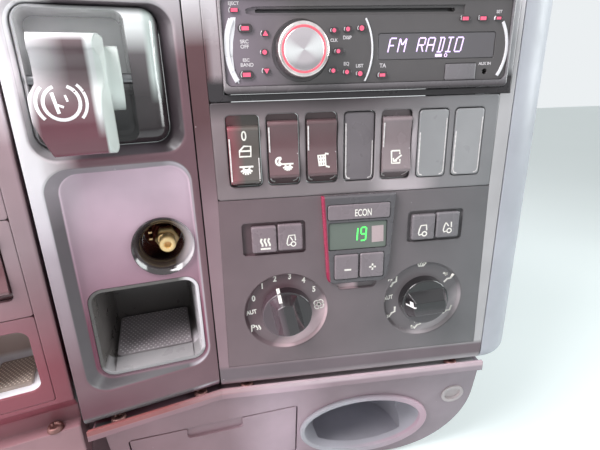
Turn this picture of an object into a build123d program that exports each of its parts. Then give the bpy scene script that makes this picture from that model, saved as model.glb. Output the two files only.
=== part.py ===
from build123d import *
from math import cos, radians, sin, tan
import os

os.makedirs("parts", exist_ok=True)

# Frame: +X to the right as the driver sees the console, +Y into the dashboard, +Z up.
# The origin is the middle of the four bolts in the rear flange of the carrier.

# Driving dimensions, in millimetres and degrees
depth = 165.0  # front face of the centre frame to the rear flange
return_depth = 45.0  # front face to the carrier's front flange
wall = 3.0  # moulded wall
seat_gap = 0.3  # clearance between pieces that are fitted together
top_z = 196.0
foot_z = -115.0  # underside of the screw ledge
ledge_z = -112.0  # top of the screw ledge
lip_z = -109.0  # top edge of the lower panel
foot_drop = 12.0  # height of the rounded foot of a front above the lip

# Radio, of the standard one-slot size, and the surround around it
radio_width = 188.0
radio_height = 58.0
radio_x = 6.1
radio_z = 145.0
radio_proud = 4.0
land_left = 9.8
land_right = 5.4
land_top = 12.0
land_foot = 4.6
insert_fit = 0.2  # clearance of the surround in the frame's opening
surround_left = radio_x - radio_width / 2 - land_left
surround_right = radio_x + radio_width / 2 + land_right
insert_top = radio_z + radio_height / 2 + land_top
insert_split = radio_z - radio_height / 2 - land_foot

# Centre frame and right cheek
frame_margin = 11.1  # frame's face to the left of the inserts
frame_edge = 3.3  # and to the right of the radio's surround
seam_x = surround_left - insert_fit - frame_margin  # joint between the left column and the centre frame
seam_gap = 0.9
cheek_x = surround_right + insert_fit + frame_edge
cheek_radius = 30.0
cheek_flat = 3.0
cheek_round = 12.0  # rounding of its lower edge
cheek_side = cheek_x + cheek_flat + cheek_radius
insert_thick = 5.0
screw_hole = 2.1
rebate = 4.0

# Left column, turned towards the driver
column_width = 97.5
column_yaw = 16.5
floor_yaw = 10.5  # floor of the dished recess, turned less than the column's face
floor_depth = 1.5

# Side wing beyond the left column
wing_start = 101.0
wing_width = 70.0
wing_back = 8.0
wing_top = 188.0

# Switch row, as wide as the radio
switch_count = 7
row_margin = 3.0
switch_pitch = (radio_width - 2 * row_margin) / switch_count
switch_z = 79.4
well_width = 22.0
well_height = 47.5
rocker_height = 39.5

# Climate panel
climate_top = 46.8
climate_foot = -87.6
dial_x = 54.2
dial_z = -43.0
dial_recess = 32.0
dial_radius = 19.3
dial_depth = 3.0

# Lower panel
undercut = 11.0
lower_back = 10.0  # lower panel's face behind the lip
lower_bend_x = seam_x + 64.0
lower_yaw = 7.0
lower_foot = -229.0
lid_width = 138.0
lid_bend_gap = 2.2  # from the bend to the ashtray lid
lid_land = 16.0  # from the lid to the panel's left side
lower_left_x = lower_bend_x - (lid_width + lid_bend_gap + lid_land) * cos(radians(lower_yaw))
lower_right_x = cheek_x + 7.5
lower_corner = 76.0  # radius of the lower right corner, which follows the cup niche
step_z = -117.0

# Carrier
carrier_left = seam_x - 194.0
carrier_right = cheek_side
carrier_top = top_z - 2.0
bolt_margin = 16.0  # bolts to the carrier's right side
bolt_x = carrier_right - bolt_margin
bolt_z = 90.0
bolt_hole = 3.3


def yawed_plane(x, y, z, yaw, pitch=0.0):
    """Plane facing the driver, turned by yaw about Z and leaning back by pitch downwards."""
    a, p = radians(yaw), radians(pitch)
    normal = (sin(a) * cos(p), -cos(a) * cos(p), -sin(p))
    return Plane(origin=(x, y, z), x_dir=(cos(a), sin(a), 0), z_dir=normal)


front = Plane.XZ.offset(depth)
column = yawed_plane(seam_x, -depth, 0, column_yaw)
column_floor = yawed_plane(seam_x, -depth + floor_depth, 0, floor_yaw)
wing = column.offset(-wing_back)
back_y = -depth + return_depth  # where the mouldings meet the carrier


# Carrier: a box frame in four bays, with a front flange that the mouldings seat on and a rear flange
front_rim = 7.0
lower_rim = 5.0
rear_rim = 22.5
post_left = seam_x - 117.0  # middles of the two walls between the upper bays
post_right = seam_x - 3.0
# columns: left and right side of each bay above the shelf
bay_table = [
    (carrier_left + wall, post_left - wall / 2),
    (post_left + wall / 2, post_right - wall / 2),
    (post_right + wall / 2, carrier_right - wall),
]


def bay_outline(plane, left, right, inset=0.0, corner=0.0):
    """Outline of an upper bay, drawn smaller all round by the inset."""
    with BuildSketch(plane) as outline:
        Polygon(
            (left + inset, carrier_top - wall - inset),
            (left + inset, step_z + wall + inset),
            (right - inset, step_z + wall + inset),
            (right - inset, carrier_top - wall - inset),
            align=None,
        )
        if corner > 0:
            fillet(outline.vertices(), radius=corner)
    return outline.sketch


def lower_outline(plane, inset, drop=0.0):
    """Outline of the lower panel and the box behind it, drawn smaller at the sides and foot by the inset."""
    left, right = lower_left_x + inset, lower_right_x - inset
    with BuildSketch(plane) as outline:
        Polygon(
            (left, step_z - drop),
            (left, lower_foot + inset),
            (right, lower_foot + inset),
            (right, step_z - drop),
            align=None,
        )
        fillet(outline.vertices().group_by(Axis.Y)[0].sort_by(Axis.X)[-1], radius=lower_corner - inset)
    return outline.sketch


carrier_front = Plane.XZ.offset(-back_y)
with BuildPart() as carrier:
    with BuildSketch(carrier_front):
        with Locations(((carrier_left + carrier_right) / 2, (carrier_top + step_z) / 2)):
            Rectangle(carrier_right - carrier_left, carrier_top - step_z)
    extrude(amount=back_y)
    extrude(lower_outline(carrier_front, 0), amount=back_y)
    for left, right in bay_table:
        inside = bay_outline(carrier_front.offset(-wall), left, right)
        extrude(inside, amount=back_y + 2 * wall, mode=Mode.SUBTRACT)
        extrude(bay_outline(carrier_front, left, right, front_rim, 5), amount=-2 * wall, mode=Mode.SUBTRACT)
        extrude(bay_outline(Plane.XZ, left, right, rear_rim, 6), amount=2 * wall, mode=Mode.SUBTRACT)
    extrude(lower_outline(carrier_front.offset(-wall), wall), amount=back_y + 2 * wall, mode=Mode.SUBTRACT)
    extrude(lower_outline(carrier_front, wall + lower_rim, front_rim), amount=-2 * wall, mode=Mode.SUBTRACT)
    extrude(lower_outline(Plane.XZ, wall + rear_rim, rear_rim), amount=2 * wall, mode=Mode.SUBTRACT)
    with BuildSketch(Plane.XZ):
        with GridLocations(2 * bolt_x, 2 * bolt_z, 2, 2):
            Circle(bolt_hole)
    extrude(amount=2 * wall, mode=Mode.SUBTRACT)
carrier.part.label = "carrier"
export_step(carrier.part, "parts/carrier.step")

# Centre frame: a moulded front with a rebated opening for the inserts and a ledge along its foot
frame_left = seam_x + seam_gap / 2
frame_right = cheek_x - seam_gap / 2
frame_width = frame_right - frame_left
step_back = 12.0
low_right = surround_right - 6.9  # right side of the switch row's panel
spread = 3.2  # the opening widens on both sides below the climate panel's top
opening_left = surround_left - insert_fit
opening = [
    (opening_left, insert_top),
    (surround_right + insert_fit, insert_top),
    (surround_right + insert_fit, insert_split),
    (low_right, insert_split),
    (low_right, climate_top),
    (low_right + spread, climate_foot),
    (opening_left - spread, climate_foot),
    (opening_left, climate_top),
]


def foot_profile(plane, back, deep):
    """Side profile of a moulded front: face, rounded foot, step back and screw ledge."""
    turn = radians(45)
    low = lip_z + foot_drop
    with BuildSketch(plane) as profile:
        with BuildLine():
            Line((0, top_z), (0, low))
            middle = (back * (1 - cos(turn)), low - foot_drop * sin(turn))
            ThreePointArc((0, low), middle, (back, lip_z))
            Polyline((back, lip_z), (back, ledge_z), (wall, ledge_z), (wall, foot_z))
            Polyline((wall, foot_z), (deep, foot_z), (deep, top_z), (0, top_z))
        make_face()
    return profile.sketch


def hollow_profile(plane, back, deep, beyond=9.0):
    """The hollow inside that front, open at the back and through the step."""
    turn = radians(45)
    low = lip_z + foot_drop
    with BuildSketch(plane) as profile:
        with BuildLine():
            Line((wall, top_z - wall), (wall, low))
            middle = (back - (back - wall) * cos(turn), low - (foot_drop - wall) * sin(turn))
            ThreePointArc((wall, low), middle, (back, lip_z + wall))
            Polyline((back, lip_z + wall), (back + wall, lip_z + wall), (back + wall, ledge_z))
            Polyline((back + wall, ledge_z), (deep + beyond, ledge_z), (deep + beyond, top_z - wall))
            Line((deep + beyond, top_z - wall), (wall, top_z - wall))
        make_face()
    return profile.sketch


def side_plane(x):
    """Plane across X whose own axes run into the dashboard and up, from the centre frame's face."""
    return Plane(origin=(x, -depth, 0), x_dir=(0, 1, 0), z_dir=(1, 0, 0))


outer = foot_profile(side_plane(frame_left), step_back, return_depth)
inner = hollow_profile(side_plane(frame_left + wall), step_back, return_depth)
with BuildPart() as centre_frame:
    extrude(outer, amount=frame_width)
    extrude(inner, amount=frame_width - 2 * wall, mode=Mode.SUBTRACT)
    with BuildSketch(front.offset(-wall)):
        Polygon(*opening, align=None)
        offset(amount=wall)
    extrude(amount=-insert_thick)
    with BuildSketch(front):
        Polygon(*opening, align=None)
    extrude(amount=-insert_thick, mode=Mode.SUBTRACT)
    with BuildSketch(front):
        Polygon(*opening, align=None)
        offset(amount=-rebate, kind=Kind.INTERSECTION)
    extrude(amount=-wall - insert_thick - 1, mode=Mode.SUBTRACT)
    for x in (frame_left + 19.7, frame_right - 22.2):
        with Locations((x, -depth + 7.5, ledge_z)):
            Hole(screw_hole, depth=wall + 1)
centre_frame.part.label = "centre_frame"
export_step(centre_frame.part, "parts/centre_frame.step")

# Right cheek: rounds away from the face to the side of the console
cheek_foot = lip_z + seat_gap
cheek_hollow = 0.7 * cheek_round  # the hollow starts above the rounded edge
with BuildPart() as right_cheek:
    with BuildSketch(Plane.XY.offset(cheek_foot)):
        with BuildLine():
            start = (cheek_x + seam_gap / 2, -depth)
            Line(start, (cheek_x + cheek_flat, -depth))
            RadiusArc((cheek_x + cheek_flat, -depth), (cheek_side, -depth + cheek_radius), -cheek_radius)
            Polyline((cheek_side, -depth + cheek_radius), (cheek_side, back_y), (start[0], back_y), start)
        make_face()
    extrude(amount=top_z - cheek_foot)
    lower_edges = right_cheek.edges().group_by(Axis.Z)[0].sort_by(Axis.Y)
    fillet(lower_edges[:2], radius=cheek_round)
    with BuildSketch(Plane.XY.offset(cheek_foot + cheek_hollow)):
        with BuildLine():
            inner_r = cheek_radius - wall
            start = (cheek_x + seam_gap / 2 + wall, -depth + wall)
            RadiusArc(start, (cheek_side - wall, -depth + cheek_radius + seat_gap), -inner_r - 1)
            Polyline(
                (cheek_side - wall, -depth + cheek_radius + seat_gap),
                (cheek_side - wall, back_y + 1),
                (start[0], back_y + 1),
                start,
            )
        make_face()
    extrude(amount=top_z - cheek_foot - cheek_hollow - wall, mode=Mode.SUBTRACT)
right_cheek.part.label = "right_cheek"
export_step(right_cheek.part, "parts/right_cheek.step")

# Left column: the same moulded section, turned, with a rounded lower corner
column_step = 17.0
column_deep = 130.0
column_corner = 14.0
soft_rim = 2.0


def column_side(u):
    """Plane across the column at u, whose own axes run into the dashboard and up."""
    return Plane(
        origin=column.from_local_coords((u, 0, 0)),
        x_dir=-column.z_dir,
        z_dir=column.x_dir,
    )


column_outer = foot_profile(column_side(-column_width), column_step, column_deep)
column_inner = hollow_profile(column_side(-column_width + wall), column_step, column_deep)
mouth_out = ((-48.0, 124.5), (86.0, 85.0), 13.0)  # rim of the brake opening: centre, size, radius
mouth_in = ((-51.1, 127.2), (76.2, 78.0), 10.0)
mouth_deep = 8.0
dish_out = ((-47.2, -1.0), (85.8, 157.0), 15.0)  # rim of the dished recess
dish_in = ((-45.6, -1.8), (76.2, 148.6), 12.0)
bin_mouth = ((-44.9, -40.4), (73.2, 68.2), 10.0)
socket_place = (-28.3, 18.6)
socket_radius = 20.0


def plate_outline(outline, grow=0.0):
    """Rounded rectangle from a centre, size and radius, grown all round."""
    centre, size, radius = outline
    with Locations(centre):
        RectangleRounded(size[0] + 2 * grow, size[1] + 2 * grow, max(radius + grow, 0.5))


def column_block(profile, width, inset):
    """The column's profile drawn out along it, with its lower left corner rounded."""
    with BuildPart() as block:
        extrude(profile, amount=width)
        with BuildSketch(column.offset(1)) as outline:
            with Locations((-column_width / 2, (top_z + foot_z) / 2)):
                Rectangle(column_width - 2 * inset, top_z - foot_z - 2 * inset)
            corner = outline.vertices().group_by(Axis.Y)[0].sort_by(Axis.X)[0]
            fillet(corner, radius=column_corner - inset)
        extrude(outline.sketch, amount=-2 * column_deep, mode=Mode.INTERSECT)
    return block.part


outer_block = column_block(column_outer, column_width - seam_gap / 2, 0)
hollow_block = column_block(column_inner, column_width - seam_gap / 2 - 2 * wall, wall)
with BuildPart() as column_housing:
    add(outer_block)
    add(hollow_block, mode=Mode.SUBTRACT)
    # walls behind the brake opening and the dish
    with BuildSketch(column.offset(-wall / 2)):
        plate_outline(mouth_out, wall)
    with BuildSketch(column.offset(-mouth_deep - wall)):
        plate_outline(mouth_in, wall)
    loft()
    with BuildSketch(column.offset(-wall / 2)):
        plate_outline(dish_out, wall)
    with BuildSketch(column_floor.offset(-wall)):
        plate_outline(dish_in, wall)
    loft()
    with BuildSketch(column):
        plate_outline(mouth_out)
    with BuildSketch(column.offset(-mouth_deep)):
        plate_outline(mouth_in)
    loft(mode=Mode.SUBTRACT)
    with BuildSketch(column):
        plate_outline(mouth_in)
    extrude(amount=-40, mode=Mode.SUBTRACT)
    with BuildSketch(column):
        plate_outline(dish_out)
    with BuildSketch(column_floor):
        plate_outline(dish_in)
    loft(mode=Mode.SUBTRACT)
    with BuildSketch(column_floor.offset(2)):
        plate_outline(bin_mouth, seat_gap)
        with Locations(socket_place):
            Circle(socket_radius)
    extrude(amount=-40, mode=Mode.SUBTRACT)
    for u in (-75.9, -14.9):
        with Locations(column.offset(-8.5) * Location((u, ledge_z, 0))):
            Cylinder(screw_hole, 3 * wall, rotation=(90, 0, 0), mode=Mode.SUBTRACT)
    # soft rims round both openings
    column_face = column_housing.faces().filter_by(column).sort_by(SortBy.AREA)[-1]
    fillet([edge for wire in column_face.inner_wires() for edge in wire.edges()], radius=soft_rim)
    # the back is trimmed to the carrier's front flange
    split(bisect_by=Plane.XZ.offset(-back_y), keep=Keep.TOP)
column_housing.part.label = "column_housing"
export_step(column_housing.part, "parts/column_housing.step")

# Brake housing: a smooth block in the mouth, with the slot that the lever swings in
lever_u = (-80.9, -38.0)
pivot_out = -8.0
pivot_z = 127.0
pin_radius = 3.0
pin_running = 0.06
slot_u = (-86.4, -32.5)
slot_z = (90.8, 163.4)
housing_front = -1.0
housing_back = -42.0
slot_back = -38.0
with BuildPart() as brake_housing:
    with BuildSketch(column.offset(housing_back)):
        plate_outline(mouth_in, -seat_gap)
    extrude(amount=housing_front - housing_back)
    front_edges = brake_housing.faces().sort_by(lambda f: column.to_local_coords(f.center()).Z)[-1].edges()
    fillet(front_edges, radius=9.0)
    with BuildSketch(column.offset(slot_back)):
        with Locations(((slot_u[0] + slot_u[1]) / 2, (slot_z[0] + slot_z[1]) / 2)):
            RectangleRounded(slot_u[1] - slot_u[0], slot_z[1] - slot_z[0], 6)
    extrude(amount=-slot_back + 5, mode=Mode.SUBTRACT)
    with BuildSketch(column_side(slot_u[0] - 1.6)):
        with Locations((-pivot_out, pivot_z)):
            Circle(pin_radius + 0.02)
    extrude(amount=slot_u[1] - slot_u[0] + 8, mode=Mode.SUBTRACT)
brake_housing.part.label = "brake_housing"
export_step(brake_housing.part, "parts/brake_housing.step")

with BuildPart() as brake_pin:
    with BuildSketch(column_side(slot_u[0] - 1.5)):
        with Locations((-pivot_out, pivot_z)):
            Circle(pin_radius)
    extrude(amount=slot_u[1] - slot_u[0] + 7.5)
brake_pin.part.label = "brake_pin"
export_step(brake_pin.part, "parts/brake_pin.step")

# Brake lever: a drum on the pin inside the slot, with a wider paddle that hangs in front of the housing
drum_radius = 18.0
paddle_gap = 8.0  # back of the paddle in front of the column's face
# points of the paddle's side profile: distance into the dashboard, height
lip = (-20.0, 141.5)
belly_top = (-17.5, 121.0)
tip = (-18.0, 90.0)
tip_back = (-paddle_gap, 89.5)
paddle_back = (-paddle_gap, 121.0)
neck_foot = (-pivot_out, 121.0)
shoulder = (-11.0, 149.0)
drum_top = (-pivot_out, pivot_z + drum_radius)
# its outline from the front, as far as the slope on its right: column coordinates
paddle_left = [(-79.8, 152.0), (-80.9, 125.0), (-84.6, 119.0), (-84.4, 106.0), (-77.5, 84.0)]
paddle_round = 6.0
slope_front = -50.6  # right side of the paddle at its front, and at its back
slope_back = -45.0
slope_reach = 34.0
with BuildPart() as brake_lever:
    with BuildSketch(column_side(paddle_left[2][0])):
        with BuildLine():
            Line(drum_top, shoulder)
            ThreePointArc(shoulder, (-18.2, 147.8), lip)
            ThreePointArc(lip, (-13.5, 132.0), belly_top)
            ThreePointArc(belly_top, (-22.5, 105.0), tip)
            ThreePointArc(tip, (-14.0, 86.8), tip_back)
            Polyline(tip_back, paddle_back, neck_foot, drum_top)
        make_face()
    extrude(amount=slope_back - paddle_left[2][0])
    with BuildSketch(column.offset(slope_reach)) as paddle_front:
        Polygon(*paddle_left, (slope_back, paddle_left[4][1]), (slope_back, paddle_left[0][1]), align=None)
        fillet(paddle_front.vertices().sort_by(Axis.X)[:2], radius=paddle_round)
    extrude(paddle_front.sketch, amount=-2 * slope_reach, mode=Mode.INTERSECT)
    slope_run = slope_back - slope_front
    with BuildSketch(Plane(origin=column.from_local_coords((0, 60, 0)), x_dir=column.x_dir, z_dir=(0, 0, 1))):
        # seen from above: along the column, into the dashboard
        Polygon(
            (slope_front - slope_run, -slope_reach),
            (slope_back, -paddle_gap),
            (slope_back + slope_run, -paddle_gap),
            (slope_back + slope_run, -slope_reach),
            align=None,
        )
    extrude(amount=top_z - 60, mode=Mode.SUBTRACT)
    with BuildSketch(column_side(lever_u[0])):
        with Locations((-pivot_out, pivot_z)):
            Circle(drum_radius)
    extrude(amount=lever_u[1] - lever_u[0])
    with BuildSketch(column_side(lever_u[0] - 1)):
        with Locations((-pivot_out, pivot_z)):
            Circle(pin_radius + pin_running)
    extrude(amount=lever_u[1] - lever_u[0] + 2, mode=Mode.SUBTRACT)
brake_lever.part.label = "brake_lever"
export_step(brake_lever.part, "parts/brake_lever.step")


def turned_plane(plane, place):
    """Plane through a point of another one: own x along it, own y out of it."""
    return Plane(
        origin=plane.from_local_coords((place[0], place[1], 0)),
        x_dir=plane.x_dir,
        z_dir=plane.x_dir.cross(plane.z_dir),
    )


def turning_axis(plane, place):
    """Axis out of a plane at a point of it."""
    return Axis(origin=plane.from_local_coords((place[0], place[1], 0)), direction=plane.z_dir)


# Socket: a funnel ring and sleeve, with a bare fitting left in it
socket_bore = 14.0
socket_rim = socket_radius + 0.8
sleeve_deep = 38.0
with BuildPart() as socket_ring:
    with BuildSketch(turned_plane(column_floor, socket_place)):
        with BuildLine():
            Polyline((socket_bore, -11), (socket_bore, -sleeve_deep), (socket_bore + 2, -sleeve_deep))
            Line((socket_bore + 2, -sleeve_deep), (socket_bore + 2, -13))
            Polyline((socket_bore + 2, -13), (socket_radius - seat_gap, -6), (socket_radius - seat_gap, 0))
            Polyline((socket_radius - seat_gap, 0), (socket_rim, 0), (socket_rim, 1.0))
            Line((socket_rim, 1.0), (socket_rim - 0.6, 1.8))
            ThreePointArc((socket_rim - 0.6, 1.8), (socket_bore + 2.0, -3.2), (socket_bore, -11))
        make_face()
    revolve(axis=turning_axis(column_floor, socket_place))
socket_ring.part.label = "socket_ring"
export_step(socket_ring.part, "parts/socket_ring.step")

with BuildPart() as socket_fitting:
    with BuildSketch(column_floor.offset(-sleeve_deep)):
        with Locations(socket_place):
            Circle(socket_bore - 0.2)
    extrude(amount=3)
    with BuildSketch(column_floor.offset(-sleeve_deep + 3)):
        with Locations(socket_place):
            RegularPolygon(7.0, 6)
    extrude(amount=6)
    with BuildSketch(column_floor.offset(-sleeve_deep + 9)):
        with Locations(socket_place):
            Circle(4.6)
    extrude(amount=15)
    stud_end = socket_fitting.faces().sort_by(lambda f: column_floor.to_local_coords(f.center()).Z)[-1]
    fillet(stud_end.edges(), radius=1.5)
    with BuildSketch(column_floor.offset(-sleeve_deep + 3)):
        for up in (4, -1):
            with Locations((socket_place[0] - 8.5, socket_place[1] + up)):
                Rectangle(2.4, 1.2)
    extrude(amount=14)
socket_fitting.part.label = "socket_fitting"
export_step(socket_fitting.part, "parts/socket_fitting.step")

# Tray bin with a raised sill, and the mat on its floor
bin_deep = 72.0
bin_wall = 2.2
sill_deep = 14.0
sill_high = 3.0
mat_thick = 2.6
bin_draft = 3.5
with BuildPart() as tray_bin:
    with BuildSketch(column_floor):
        plate_outline(bin_mouth)
    extrude(amount=-bin_deep, taper=bin_draft)
    with BuildSketch(column_floor):
        plate_outline(bin_mouth, -bin_wall)
    extrude(amount=-bin_deep + bin_wall, taper=bin_draft, mode=Mode.SUBTRACT)
    floor_z = bin_mouth[0][1] - bin_mouth[1][1] / 2 + bin_wall
    sill_x = bin_mouth[0][0] - bin_mouth[1][0] / 2 + 9
    sill_plane = Plane(
        origin=column_floor.from_local_coords((sill_x, 0, 0)),
        x_dir=-column_floor.z_dir,
        z_dir=column_floor.x_dir,
    )
    rise = tan(radians(bin_draft))
    with BuildSketch(sill_plane):
        Polygon(
            (0, floor_z - 1),
            (0, floor_z + 0.4),
            (sill_deep, floor_z + sill_high),
            (sill_deep, floor_z - 1),
            align=None,
        )
    extrude(amount=bin_mouth[1][0] - 18)
tray_bin.part.label = "tray_bin"
export_step(tray_bin.part, "parts/tray_bin.step")

mat_deep = bin_deep - bin_wall - sill_deep - 4
slope = radians(bin_draft)
floor_up = column_floor.z_dir * sin(slope) + Vector(0, 0, cos(slope))
mat_low = floor_z + (sill_deep + 1) * rise + 0.1
mat_start = column_floor.from_local_coords((bin_mouth[0][0], mat_low, -sill_deep - 1))
with BuildPart() as tray_mat:
    with BuildSketch(Plane(origin=mat_start, x_dir=column_floor.x_dir, z_dir=floor_up)):
        with Locations((0, mat_deep / 2)):
            RectangleRounded(bin_mouth[1][0] - 2 * bin_wall - 14, mat_deep, 3)
    extrude(amount=mat_thick)
tray_mat.part.label = "tray_mat"
export_step(tray_mat.part, "parts/tray_mat.step")

# Radio surround: a plate around the radio in the centre frame
with BuildPart() as radio_surround:
    with BuildSketch(front):
        with Locations(((surround_left + surround_right) / 2, (insert_top + insert_split) / 2)):
            RectangleRounded(surround_right - surround_left, insert_top - insert_split - 0.6, 2)
        with Locations((radio_x, radio_z)):
            Rectangle(radio_width + 0.8, radio_height + 0.8, mode=Mode.SUBTRACT)
    extrude(amount=-insert_thick)
radio_surround.part.label = "radio_surround"
export_step(radio_surround.part, "parts/radio_surround.step")

# Radio: sheet-metal case, grey bezel, dark face and the pieces on it
bezel_lap = 3.0  # bezel beyond the case at each end
bezel_side = 1.8
bezel_foot = 4.0
case_deep = 132.0
case_width = radio_width - 2 * bezel_lap
case_height = radio_height - 2 * bezel_lap + 1.0
face_width = radio_width - 2 * bezel_side
face_height = radio_height - 2 * bezel_foot
face_proud = 2.5
plug_width, plug_height, plug_deep = 54.0, 26.0, 12.0
fin_count, fin_thick, fin_deep = 5, 2.2, 14.0
case_margin = 14.0  # from the case's sides to the plugs and the fins
fin_pitch = (case_width - plug_width - 3.5 * case_margin) / (fin_count - 1)
fin_x = radio_x + case_width / 2 - case_margin - fin_pitch * (fin_count - 1) / 2
plug_x = radio_x - case_width / 2 + case_margin + plug_width / 2
with BuildPart() as radio_case:
    with BuildSketch(front.offset(-insert_thick - 2)):
        with Locations((radio_x, radio_z)):
            Rectangle(case_width, case_height)
    extrude(amount=-case_deep)
    rear = front.offset(-insert_thick - 2 - case_deep)
    # recess for the plugs, and the cooling fins beside it
    with BuildSketch(rear):
        with Locations((plug_x, radio_z)):
            Rectangle(plug_width, plug_height)
    extrude(amount=plug_deep, mode=Mode.SUBTRACT)
    with BuildSketch(rear):
        with Locations((fin_x, radio_z)):
            with GridLocations(fin_pitch, 1, fin_count, 1):
                Rectangle(fin_thick, case_height - 6)
    extrude(amount=-fin_deep)
radio_case.part.label = "radio_case"
export_step(radio_case.part, "parts/radio_case.step")

with BuildPart() as radio_bezel:
    with BuildSketch(front.offset(-insert_thick - 2)):
        with Locations((radio_x, radio_z)):
            RectangleRounded(radio_width, radio_height, 3)
    extrude(amount=insert_thick + 2 + radio_proud)
    fillet(radio_bezel.faces().sort_by(Axis.Y)[0].edges(), radius=1.5)
    with BuildSketch(front.offset(radio_proud)):
        with Locations((radio_x, radio_z + 0.5)):
            RectangleRounded(face_width, face_height, 4)
    extrude(amount=-30, mode=Mode.SUBTRACT)
radio_bezel.part.label = "radio_bezel"
export_step(radio_bezel.part, "parts/radio_bezel.step")


def on_face(side, across, level, up):
    """Point of the radio's face: across from its left or right side, up from its foot, middle or top."""
    return (radio_x + side * radio_width / 2 + across, radio_z + level * radio_height / 2 + up)


knob_place = on_face(-1, 48.9, 0, -4.5)
knob_radius = 16.3
display_left = on_face(-1, 98.4, 0, -3.0)
display_right = on_face(1, -11.6, 0, -3.0)
display_width = display_right[0] - display_left[0]
display_window = ((display_left[0] + display_right[0]) / 2, display_left[1], display_width, 15.2)
door_window = (*on_face(1, -33.6, -1, 10.0), 21.0, 10.0)
jack_place = on_face(1, -16.6, -1, 9.8)
slot_left = on_face(-1, 21.9, 1, -11.0)
slot_right = on_face(1, -40.1, 1, -11.0)
slot_line = ((slot_left[0] + slot_right[0]) / 2, slot_left[1], slot_right[0] - slot_left[0], 2.2)
# columns: side, across, level, up
slot_band = [
    (-1, 16.4, 1, -12.4),
    (-1, 21.9, 1, -13.6),
    (1, -34.1, 1, -13.6),
    (1, -34.1, 1, -8.4),
    (-1, 21.9, 1, -8.8),
    (-1, 16.4, 1, -10.0),
]
band_deep = 1.2
with BuildPart() as radio_face:
    with BuildSketch(front.offset(-insert_thick)):
        with Locations((radio_x, radio_z + 0.5)):
            RectangleRounded(face_width - 0.4, face_height - 0.4, 3.8)
    extrude(amount=insert_thick + face_proud)
    with BuildSketch(front.offset(face_proud)):
        Polygon(*[on_face(*corner) for corner in slot_band], align=None)
    extrude(amount=-band_deep, mode=Mode.SUBTRACT)
    with BuildSketch(front.offset(face_proud)):
        with Locations(slot_line[:2]):
            SlotOverall(slot_line[2], slot_line[3])
    extrude(amount=-6, mode=Mode.SUBTRACT)
    with BuildSketch(front.offset(face_proud)):
        with Locations(display_window[:2]):
            RectangleRounded(display_window[2] + 0.6, display_window[3] + 0.6, 1.5)
        with Locations(door_window[:2]):
            RectangleRounded(door_window[2] + 0.6, door_window[3] + 0.6, 1)
    extrude(amount=-1.5, mode=Mode.SUBTRACT)
    with BuildSketch(front.offset(face_proud)):
        with Locations(jack_place):
            Circle(1.75)
    extrude(amount=-5, mode=Mode.SUBTRACT)
    with BuildSketch(front.offset(face_proud)):
        with Locations(knob_place):
            Circle(knob_radius + 1.8)
            Circle(knob_radius - 4, mode=Mode.SUBTRACT)
    extrude(amount=-1.2, mode=Mode.SUBTRACT)
radio_face.part.label = "radio_face"
export_step(radio_face.part, "parts/radio_face.step")

with BuildPart() as radio_display:
    with BuildSketch(front.offset(face_proud - 1.5)):
        with Locations(display_window[:2]):
            RectangleRounded(display_window[2], display_window[3], 1.2)
    extrude(amount=1.3)
radio_display.part.label = "radio_display"
export_step(radio_display.part, "parts/radio_display.step")

with BuildPart() as radio_door:
    with BuildSketch(front.offset(face_proud - 1.5)):
        with Locations(door_window[:2]):
            RectangleRounded(door_window[2], door_window[3], 0.8)
    extrude(amount=2.0)
radio_door.part.label = "radio_door"
export_step(radio_door.part, "parts/radio_door.step")

knob_high = 14.0
knob_seat = knob_radius - 4.2  # radius that stands on the face
knob_dish = knob_radius - 3.0  # radius of the shallow recess for the disc
with BuildPart() as radio_knob:
    with BuildSketch(turned_plane(front, knob_place)):
        low = face_proud
        top = low + knob_high
        with BuildLine():
            Polyline((0, low), (knob_seat, low), (knob_seat, low + 0.8), (knob_radius, low + 0.8))
            Polyline((knob_radius, low + 0.8), (knob_radius, low + 3), (knob_radius - 0.7, top - 2))
            crest = (knob_radius - 2.3, top)
            ThreePointArc((knob_radius - 0.7, top - 2), (knob_radius - 1.2, top - 0.6), crest)
            Polyline(crest, (knob_dish, top), (knob_dish, top - 0.8), (0, top - 0.8), (0, low))
        make_face()
    revolve(axis=turning_axis(front, knob_place))
radio_knob.part.label = "radio_knob"
export_step(radio_knob.part, "parts/radio_knob.step")

# columns: side, across, level, up, width, height
radio_key_table = [
    (-1, 9.7, 1, -10.6, 5.5, 2.4),
    (-1, 15.5, 1, -20.5, 9.0, 5.0),
    (-1, 14.7, -1, 11.4, 9.0, 5.0),
    (-1, 27.4, 1, -23.5, 5.0, 3.6),
    (-1, 26.4, 0, -4.9, 5.0, 3.6),
    (-1, 27.1, -1, 13.4, 5.0, 3.6),
    (-1, 69.7, 1, -22.2, 6.0, 3.6),
    (-1, 78.3, 1, -21.6, 6.0, 3.6),
    (-1, 87.0, 1, -21.2, 6.0, 3.6),
    (-1, 72.3, 0, -5.1, 7.5, 4.0),
    (-1, 69.1, -1, 12.6, 6.0, 3.6),
    (-1, 77.9, -1, 11.6, 6.0, 3.6),
    (-1, 86.5, -1, 10.4, 6.0, 3.6),
    (-1, 101.2, -1, 9.2, 7.5, 4.0),
    (1, -33.6, 1, -16.4, 7.0, 3.0),
    (1, -21.7, 1, -16.4, 7.0, 3.0),
    (1, -11.1, 1, -16.4, 5.0, 3.0),
]
with BuildPart() as radio_keys:
    for side, across, level, up, w, h in radio_key_table:
        with BuildSketch(front.offset(face_proud)):
            with Locations(on_face(side, across, level, up)):
                SlotOverall(w, h)
        extrude(amount=1.0)
radio_keys.part.label = "radio_keys"
export_step(radio_keys.part, "parts/radio_keys.step")

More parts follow.
